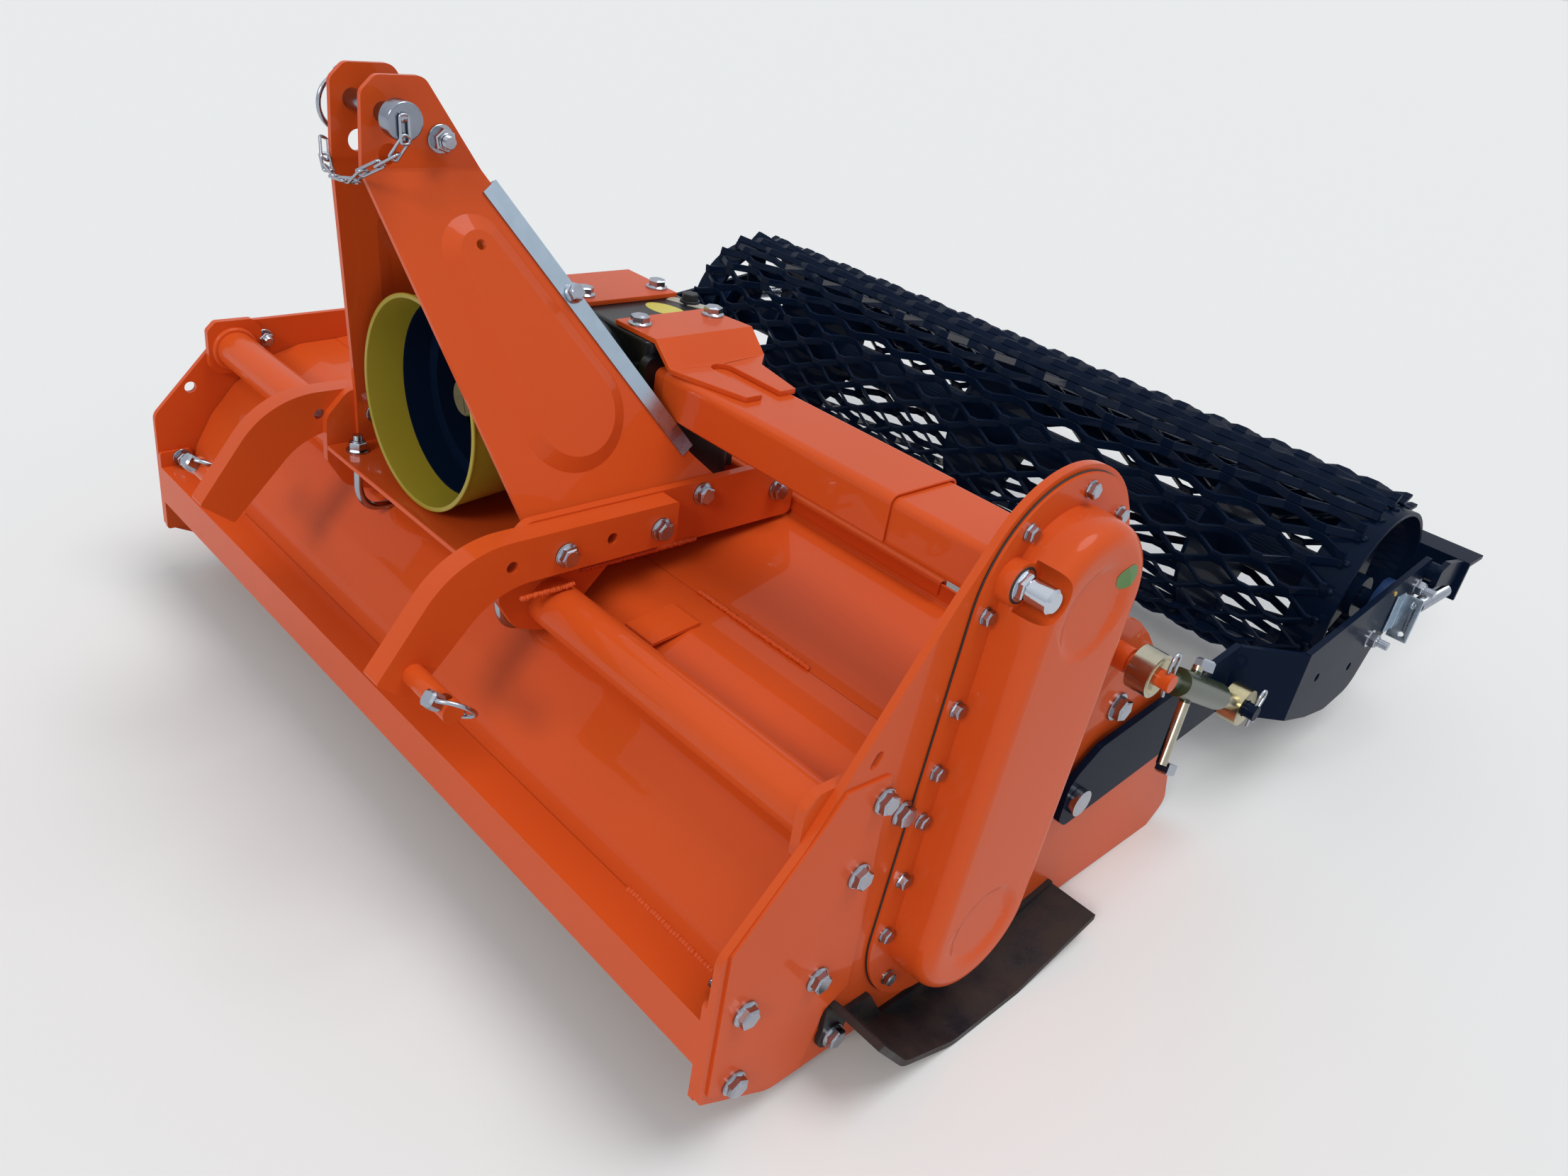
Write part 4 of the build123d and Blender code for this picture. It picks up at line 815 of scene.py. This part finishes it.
def turned(bm, profile, sides=72):  # a closed profile of (y, radius) turned round the shaft
    verts = [bm.verts.new((radius, 0, y)) for y, radius in profile]
    edges = [bm.edges.new(pair) for pair in zip(verts, verts[1:] + verts[:1])]
    bmesh.ops.spin(bm, geom=verts + edges, cent=(0, 0, 0), axis=(0, 0, 1), angle=math.tau, steps=sides,
                   use_merge=True)
    bmesh.ops.remove_doubles(bm, verts=bm.verts, dist=hair)
    move(bm, at((0, 0, takeOff["height"]), rearward))


def makeShieldLiner():
    bm = bmesh.new()
    wall = takeOff["wall"]
    front, step, rear = takeOff["linerFront"], takeOff["linerStep"], takeOff["linerRear"]
    mouth, inner, throat = takeOff["mouthRadius"], takeOff["stepRadius"], takeOff["throatRadius"]
    turned(bm, ((front, mouth), (step, inner), (step, throat + wall), (rear, throat + wall), (rear, throat),
                (step - wall, throat), (step - wall, inner - wall), (front, mouth - wall)))
    newPiece("shieldLiner", bm, "black", "frame", 30)


def makeShaftCap():
    bm = stack([shaftCap["lid"]])
    for turn in shaftCap["ribTurns"]:
        rib = bmesh.new()
        slabOf(rib, oblong(*shaftCap["rib"]), shaftCap["ribLow"], shaftCap["ribHigh"])
        stamp(bm, keep(rib, "capRib"), (0, 0, 0), upright, turn)
    move(bm, at((0, shaftCap["front"], takeOff["height"]), -rearward))
    sleeve = bmesh.new()
    turned(sleeve, shaftCap["sleeve"], shaftCap["sides"])
    bm.from_mesh(keep(sleeve, "sleeve"))
    newPiece("shaftCap", bm, "capOlive", "pto_body", 30)


makeShieldLiner()
makeShaftCap()

# Gearbox: bridge bolts, cover bolts, filler plug, blank oval label and blank plate

gearbox = {
    "bridgeBolts": ((53, 306), (53, 412), (-53, 306), (-53, 412)), "bridgeTop": 533, "bridgeTurns": (9, 14),
    "foot": ((-153, 356), (-110, 330), (153, 330)), "footTurn": 25,
    "cover": {"bolts": 6, "ring": 43, "centre": (0, 430), "face": 448, "turn": 20, "first": 17.19},
    "cap": {"bolts": 6, "ring": 47, "centre": (0, 454), "face": 234, "turn": 11, "first": 0},
    "top": 527, "oval": (4, 382), "ovalSize": (27, 17), "ovalSlab": (1, -0.5, 0.3, 0, 48), "ovalTurn": 14,
    "plate": (-8, 424), "plateSize": (24, 8), "plateSlab": (-0.4, 0.9, 0.3), "plateTurn": 24,
    "plug": (-8, 428), "plugSteps": ((12, 0, 4, 0.6, 24), (10.4, 4, 12, 1, 6)),
}


def makeGearboxBolts():
    bm = bmesh.new()
    first, further = gearbox["bridgeTurns"]
    for i, (x, y) in enumerate(gearbox["bridgeBolts"]):
        stamp(bm, heads["m12"], (x, y, gearbox["bridgeTop"]), upright, first + further * i)
    for ring, way in ((gearbox["cover"], rearward), (gearbox["cap"], -rearward)):
        for i in range(ring["bolts"]):
            x, z = onCircle(ring["centre"], ring["ring"], 360 * i / ring["bolts"] + ring["first"])
            stamp(bm, heads["m8"], (x, ring["face"], z), way, ring["turn"] * i)
    for x, y in gearbox["foot"]:
        stamp(bm, nut, (x, y, hitch["baseTop"]), upright, gearbox["footTurn"])
    newPiece("gearboxBolts", bm, "zinc", "frame")


def makeGearboxLabels():
    bm = stack([gearbox["ovalSlab"]])
    bmesh.ops.scale(bm, vec=(*gearbox["ovalSize"], 1), verts=bm.verts)
    move(bm, at((*gearbox["oval"], gearbox["top"]), upright, gearbox["ovalTurn"]))
    newPiece("gearboxOvalLabel", bm, "labelYellow", "frame")
    plate = bmesh.new()
    slabOf(plate, oblong(*gearbox["plateSize"]), *gearbox["plateSlab"])
    move(plate, at((*gearbox["plate"], gearbox["top"]), upright, gearbox["plateTurn"]))
    newPiece("gearboxPlate", plate, "labelGrey", "frame")


makeGearboxBolts()
makeGearboxLabels()
makeFitting("fillerPlug", gearbox["plugSteps"], (*gearbox["plug"], gearbox["top"]), upright, "rotorBlack")

# Roller: expanded steel mesh, one twisted strand repeated in zigzag bays round the tube

rollerMesh = {
    "axis": (1128, 255), "firstKnot": 634, "pitch": 49, "bays": 26, "round": 20,
    "bond": 9, "turn": 1.9,  # half a knot's length, and the angle from its middle to a strand's
    "outer": 146.4, "inner": 138.2, "strand": (12.4, 4.6), "edge": 1.0, "tilt": 42,
}


def strandStation(x, turn, radius, heading):  # where the strand's section stands, and how it leans
    place = Matrix.Rotation(math.radians(turn), 4, "X") @ Matrix.Translation((x, 0, radius))
    skew = Matrix.Rotation(math.radians(heading), 4, "Z")
    lean = Matrix.Rotation(math.radians(rollerMesh["tilt"]), 4, "X")
    face = Matrix(((0, 0, 1, 0), (1, 0, 0, 0), (0, 1, 0, 0), (0, 0, 0, 1)))
    return place @ skew @ lean @ face


def makeStrand(sense):
    wide, thick = rollerMesh["strand"]
    bm = bmesh.new()
    bmesh.ops.create_grid(bm, x_segments=1, y_segments=1, size=0.5)
    bmesh.ops.scale(bm, vec=(wide, thick, 1), verts=bm.verts)
    bmesh.ops.bevel(bm, geom=bm.verts[:], offset=rollerMesh["edge"], segments=1, profile=0.5,
                    affect="VERTICES", material=-1)
    pitch, bond, near = rollerMesh["pitch"], rollerMesh["bond"], rollerMesh["turn"]
    far = 180 / rollerMesh["round"] - near
    low, high = (rollerMesh["inner"], rollerMesh["outer"])[::sense]
    rise = rollerMesh["outer"] * math.radians(far - near)
    heading = math.degrees(math.atan2(rise, pitch - 2 * bond)) / -2 * sense
    stations = ((0, near, low, 0), (bond, near, low, heading),
                (pitch - bond, far, high, heading), (pitch, far, high, 0))
    places = [strandStation(x, turn * sense, radius, head) for x, turn, radius, head in stations]
    front = bm.verts[:]
    bmesh.ops.transform(bm, matrix=places[0], verts=front)
    for before, after in zip(places, places[1:]):
        face = [f for f in bm.faces if all(v in front for v in f.verts)]
        made = bmesh.ops.extrude_face_region(bm, geom=face)["geom"]
        front = [part for part in made if isinstance(part, bmesh.types.BMVert)]
        bmesh.ops.transform(bm, matrix=after @ before.inverted(), verts=front)
    return keep(bm, "strand")


def makeRollerMesh():
    pair = [makeStrand(1), makeStrand(-1)]
    step = 360 / rollerMesh["round"]
    bay = bmesh.new()
    for i in range(rollerMesh["round"]):
        for strand in pair:
            addCopy(bay, strand, Matrix.Rotation(math.radians(i * step), 4, "X"))
    bayMesh = keep(bay, "bay")
    bm = bmesh.new()
    for i in range(rollerMesh["bays"]):
        shift = Matrix.Translation((i * rollerMesh["pitch"] - rollerMesh["firstKnot"], 0, 0))
        addCopy(bm, bayMesh, shift @ Matrix.Rotation(math.radians(step / 2 * (i % 2)), 4, "X"))
    move(bm, Matrix.Translation((0, *rollerMesh["axis"])) @ Matrix.Scale(-1, 4, (1, 0, 0)))
    piece = newPiece("rollerStrands", bm, "black", "roller", 30)
    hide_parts("roller_mesh")
    print("roller mesh of", rollerMesh["bays"] * rollerMesh["round"] * 2, "strands")


makeRollerMesh()

# Roller ends: weld blobs under the teeth, bearing bolts, grease nipples, arm nuts and the scraper's springs

rollerEnd = {
    "weldX": 634, "weldRadius": 132.5, "weldSize": (7.7, 5.6, 3.5),
    "bearingFace": 676, "boltCircle": 31, "boltTurns": (45, 135, 225, 315), "boltTurn": 15,
    "nippleAt": (1101, 291), "nipple": ((4.5, 0, 4, 0.6, 6), (3, 4, 8, 1.0, 16), (3.6, 7.5, 10.5, 1.2, 16)),
    "armNuts": ((1072, 231), (1184, 279)), "armFace": 684, "armTurn": 9,
}
scraperSpring = {
    "x": 700, "front": (1150, 262), "rear": (1288, 257), "coil": (1168, 1272), "radius": 8.5, "wire": 1.7,
    "turns": 24, "stepsPerTurn": 16, "leave": ((0, 8.5), (-4, 7.65), (-8, 2)),  # from the coil's last turn
    "hook": ((4, 1), (-7, 2), (-11, 7), (-4, 13), (4, 9)),  # round the bracket's hole
}


def makeRollerWelds():
    bm = bmesh.new()
    y, z = rollerMesh["axis"]
    for sign in (1, -1):
        for i in range(rollerMesh["round"]):
            angle = math.radians(i * 360 / rollerMesh["round"])
            spot = Vector((0, math.cos(angle), math.sin(angle)))
            made = bmesh.ops.create_icosphere(bm, subdivisions=2, radius=1)["verts"]
            bmesh.ops.scale(bm, vec=rollerEnd["weldSize"], verts=made)
            place = Vector((sign * rollerEnd["weldX"], y, z)) + spot * rollerEnd["weldRadius"]
            bmesh.ops.transform(bm, matrix=at(place, spot), verts=made)
    newPiece("rollerWelds", bm, "black", "roller", 60)


def makeBearingBolts():
    bm = bmesh.new()
    brass = bmesh.new()
    nipple = keep(stack(rollerEnd["nipple"]), "nipple")
    for sign in (1, -1):
        out = sideways * sign
        for i, turn in enumerate(rollerEnd["boltTurns"]):
            spot = onCircle(rollerMesh["axis"], rollerEnd["boltCircle"], turn)
            place = (sign * rollerEnd["bearingFace"], *spot)
            stamp(bm, heads["m8"], place, out, rollerEnd["boltTurn"] * i)
        stamp(brass, nipple, (sign * rollerEnd["bearingFace"], *rollerEnd["nippleAt"]), out)
        for y, z in rollerEnd["armNuts"]:
            stamp(bm, longNut, (sign * rollerEnd["armFace"], y, z), out, rollerEnd["armTurn"])
    newPiece("rollerEndBolts", bm, "zinc", "roller_frame")
    newPiece("greaseNipples", brass, "brass", "roller_frame")


def makeSpring(name, node, sign):
    bm = bmesh.new()
    start, stop = scraperSpring["coil"]
    radius, wire, turns = scraperSpring["radius"], scraperSpring["wire"], scraperSpring["turns"]
    steps = turns * scraperSpring["stepsPerTurn"]
    verts, edges = wireSection(bm, wire, 8, radius)
    bmesh.ops.spin(bm, geom=verts + edges, cent=(0, 0, 0), axis=(0, 0, 1), angle=math.tau * turns,
                   steps=steps, dvec=(0, 0, (stop - start) / steps))
    bmesh.ops.remove_doubles(bm, verts=bm.verts, dist=hair)
    x = sign * scraperSpring["x"]
    front = Vector((x, *scraperSpring["front"]))
    rear = Vector((x, *scraperSpring["rear"]))
    along = (rear - front).normalized()
    move(bm, at(front + along * (start - front.y), along))
    for end, way, face in ((front, along, start - front.y), (rear, -along, rear.y - stop)):
        hook = [(face + a, b) for a, b in scraperSpring["leave"]] + list(scraperSpring["hook"])
        points = [end + way * a + upright * b for a, b in hook]
        addWire(bm, points, wire, fine=5)
    piece = newPiece(name, bm, "zinc", "roller_frame", 60)
    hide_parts(node)


makeRollerWelds()
makeBearingBolts()
makeSpring("scraperSpringNear", "scraper_spring_left", 1)
makeSpring("scraperSpringFar", "scraper_spring_right", -1)
print("roller ends fitted")

# Turnbuckles: cup washers, hairpin clips through the pins and squared ends on the tommy bars

cupWasher = {"steps": ((22, 0, 5, 2.4, 40),), "place": (658, 505, 352)}
hairpin = {
    "x": 671, "wire": 2.0,
    "points": ((-19.32, 0), (8.5, 0), (16.5, 0.5), (23.5, 3), (28.5, 9), (25.5, 16), (17.5, 17),
               (11.5, 14), (0, 9.7), (-8.5, 11.7), (-16.5, 15.5)),  # along and across a pin of radius 8.5
    "sets": {
        "frontHairpins": {"body": "frame", "pin": (505, 352), "swing": 100},
        "rearHairpins": {"body": "roller_frame", "pin": (786, 209), "swing": 82},
    },
}
tommyBar = {
    "low": (665, 602, 202), "high": (646, 654, 304), "half": 8, "from": -4, "to": 9, "ease": 2.2, "turn": 30,
}


def makeCupWashers():
    bm = bmesh.new()
    cup = keep(stack(cupWasher["steps"]), "cup")
    x, y, z = cupWasher["place"]
    for sign in (1, -1):
        stamp(bm, cup, (sign * x, y, z), sideways * sign)
    newPiece("turnbuckleWashers", bm, "yellowZinc", "frame")


def makeHairpins(name, clip):
    bm = bmesh.new()
    swing = math.radians(clip["swing"])
    along = Vector((0, math.cos(swing), math.sin(swing)))
    for sign in (1, -1):
        centre = Vector((sign * hairpin["x"], *clip["pin"]))
        across = along.cross(sideways * sign).normalized()
        points = [centre + along * a + across * b for a, b in hairpin["points"]]
        addWire(bm, points, hairpin["wire"], fine=6)
    newPiece(name, bm, "zinc", clip["body"], 60)


def makeTommyEnds(name, body, sign):
    bm = bmesh.new()
    low = Vector(tommyBar["low"])
    high = Vector(tommyBar["high"])
    low.x *= sign
    high.x *= sign
    along = (high - low).normalized()
    for spot, way in ((low, -along), (high, along)):
        knob = bmesh.new()
        slabOf(knob, oblong(tommyBar["half"], tommyBar["half"]), tommyBar["from"], tommyBar["to"],
               tommyBar["ease"])
        stamp(bm, keep(knob, "barEnd"), spot, way, tommyBar["turn"])
    newPiece(name, bm, "zinc", body)


makeCupWashers()
for name, clip in hairpin["sets"].items():
    makeHairpins(name, clip)
makeTommyEnds("tommyEndsNear", "barrel_left", 1)
makeTommyEnds("tommyEndsFar", "barrel_right", -1)
print("turnbuckles fitted")

# Welds: beads laid along a line or round the tube's ends, and the tab on the hood

weldRuns = {
    "beam": {"points": ((-560, 44, 142), (-420, 44, 142)), "size": 4.5},
    "beamMiddle": {"points": ((20, 44, 142), (130, 44, 142)), "size": 4.5},
    "beamNear": {"points": ((440, 44, 142), (560, 44, 142)), "size": 4.5},
    "deckBend": {"points": ((250, 263, 304), (420, 263, 304)), "size": 3},
    "memberLeft": {"points": ((191, 150, 332), (191, 300, 332)), "size": 3},
    "armLeft": {"points": ((217, 60, 336), (217, 120, 336)), "size": 3},
}
bead = {"step": 0.9, "least": 0.85, "spread": 0.25, "flat": 0.75, "stray": 0.25}  # shares of a bead's size
tubeEnd = {"centre": (112, 306), "radius": 27, "x": 591, "bead": 4.5}
hoodTab = {
    "outline": [(255, 160), (300, 160), (300, 222), (255, 222)], "half": 2, "ease": 0.6,
    "hinge": (0, 190, 300), "tip": 6,
}


def layWeld(bm, start, end, size, seed):
    start, end = Vector(start), Vector(end)
    length = (end - start).length
    along = (end - start).normalized()
    count = max(2, int(length / (size * bead["step"])))
    dice = random.Random(seed)
    for i in range(count):
        spot = start + along * (length * i / (count - 1))
        made = bmesh.ops.create_icosphere(bm, subdivisions=2, radius=size)["verts"]
        swell = bead["least"] + bead["spread"] * dice.random()
        bmesh.ops.scale(bm, vec=(swell, swell, bead["flat"]), verts=made)
        stray = Vector((dice.random() - 0.5, dice.random() - 0.5, dice.random() - 0.5)) * size * bead["stray"]
        bmesh.ops.transform(bm, matrix=at(spot + stray, along), verts=made)


def makeWelds():
    bm = bmesh.new()
    for i, run in enumerate(weldRuns.values()):
        layWeld(bm, *run["points"], run["size"], i)
    newPiece("weldRuns", bm, "orange", "frame", 60)


def makeTubeWelds():
    bm = bmesh.new()
    for sign in (1, -1):
        ringOf(bm, (sign * tubeEnd["x"], *tubeEnd["centre"]), sideways, tubeEnd["radius"], tubeEnd["bead"])
    newPiece("tubeEndWelds", bm, "orange", "frame", 60)


def makeHoodTab():
    bm = bmesh.new()
    slabOf(bm, hoodTab["outline"], -hoodTab["half"], hoodTab["half"], hoodTab["ease"])
    x, y, z = hoodTab["hinge"]
    tip = Matrix.Rotation(math.radians(hoodTab["tip"]), 4, "X")
    move(bm, Matrix.Translation((x, y, z)) @ tip @ Matrix.Translation((0, -y, 0)))
    newPiece("hoodTab", bm, "orange", "frame")


makeWelds()
makeTubeWelds()
makeHoodTab()
print("welds laid")

# Stage, lights and camera

stage = {
    "reach": 40, "floor": (0.80, 0.805, 0.81), "floorRoughness": 0.9, "floorShine": 0.1,
    "fill": (0.90, 0.95, 1.0), "fillStrength": 0.50,
    "dome": ((0.12, (0.64, 0.66, 0.70)), (0.80, (0.97, 0.99, 1.0))),  # height in the sky and its colour
}
suns = {
    "softTop": {"toward": (0.25, 0.30, 1.0), "strength": 1.25, "spread": 34, "colour": (1, 1, 1)},
    "frontSide": {"toward": (0.35, -1.0, 0.75), "strength": 1.05, "spread": 16, "colour": (1.0, 0.95, 0.86)},
}
view = {
    "place": (1.0789, -1.1160, 1.0079), "lens": 27.94, "sensor": 36.0, "clip": (0.05, 200),
    "right": (0.6766, 0.7277, 0.1129), "up": (-0.4440, 0.2807, 0.8510), "back": (0.5875, -0.6258, 0.5130),
}


def makeFloor():
    bm = bmesh.new()
    bmesh.ops.create_grid(bm, x_segments=1, y_segments=1, size=stage["reach"])
    floor = toScene("floor", keep(bm, "floor"))
    material, nodes, links, shader = newMaterial("paleFloor")
    shader.inputs["Base Color"].default_value = (*stage["floor"], 1)
    shader.inputs["Roughness"].default_value = stage["floorRoughness"]
    shader.inputs["Specular IOR Level"].default_value = stage["floorShine"]
    floor.data.materials.append(material)


def makeSun(name, look):
    lamp = bpy.data.lights.new(name, "SUN")
    lamp.energy = look["strength"]
    lamp.angle = math.radians(look["spread"])
    lamp.color = look["colour"]
    holder = toScene(name, lamp)
    holder.rotation_euler = (-Vector(look["toward"])).to_track_quat("-Z", "Y").to_euler()


def makeWorld():  # a soft fill lights the machine, and a pale dome is what camera and paint see
    world = bpy.data.worlds.new("studio")
    world.use_nodes = True
    nodes, links = world.node_tree.nodes, world.node_tree.links
    nodes.clear()
    soft = nodes.new("ShaderNodeBackground")
    soft.inputs["Color"].default_value = (*stage["fill"], 1)
    soft.inputs["Strength"].default_value = stage["fillStrength"]
    seen = nodes.new("ShaderNodeBackground")
    sky = nodes.new("ShaderNodeTexCoord")
    height = nodes.new("ShaderNodeSeparateXYZ")
    links.new(sky.outputs["Generated"], height.inputs[0])
    dome = nodes.new("ShaderNodeValToRGB")
    for stop, (place, colour) in zip(dome.color_ramp.elements, stage["dome"]):
        stop.position = place
        stop.color = (*colour, 1)
    links.new(height.outputs["Z"], dome.inputs["Fac"])
    links.new(dome.outputs["Color"], seen.inputs["Color"])
    path = nodes.new("ShaderNodeLightPath")
    shown = combine(nodes, links, "MAXIMUM", path.outputs["Is Camera Ray"], path.outputs["Is Glossy Ray"])
    shown = combine(nodes, links, "MAXIMUM", shown, path.outputs["Is Transmission Ray"])
    mix = nodes.new("ShaderNodeMixShader")
    links.new(shown, mix.inputs[0])
    links.new(soft.outputs[0], mix.inputs[1])
    links.new(seen.outputs[0], mix.inputs[2])
    out = nodes.new("ShaderNodeOutputWorld")
    links.new(mix.outputs[0], out.inputs["Surface"])
    bpy.context.scene.world = world


def makeCamera():
    camera = bpy.data.cameras.new("camera")
    camera.lens = view["lens"]
    camera.sensor_width = view["sensor"]
    camera.clip_start, camera.clip_end = view["clip"]
    holder = toScene("camera", camera)
    turn = Matrix((view["right"], view["up"], view["back"])).transposed()
    holder.matrix_world = Matrix.Translation(view["place"]) @ turn.to_4x4()
    bpy.context.scene.camera = holder


makeFloor()
makeWorld()
for name, look in suns.items():
    makeSun(name, look)
makeCamera()
bpy.context.scene.view_settings.view_transform = "Standard"
print("stage ready")
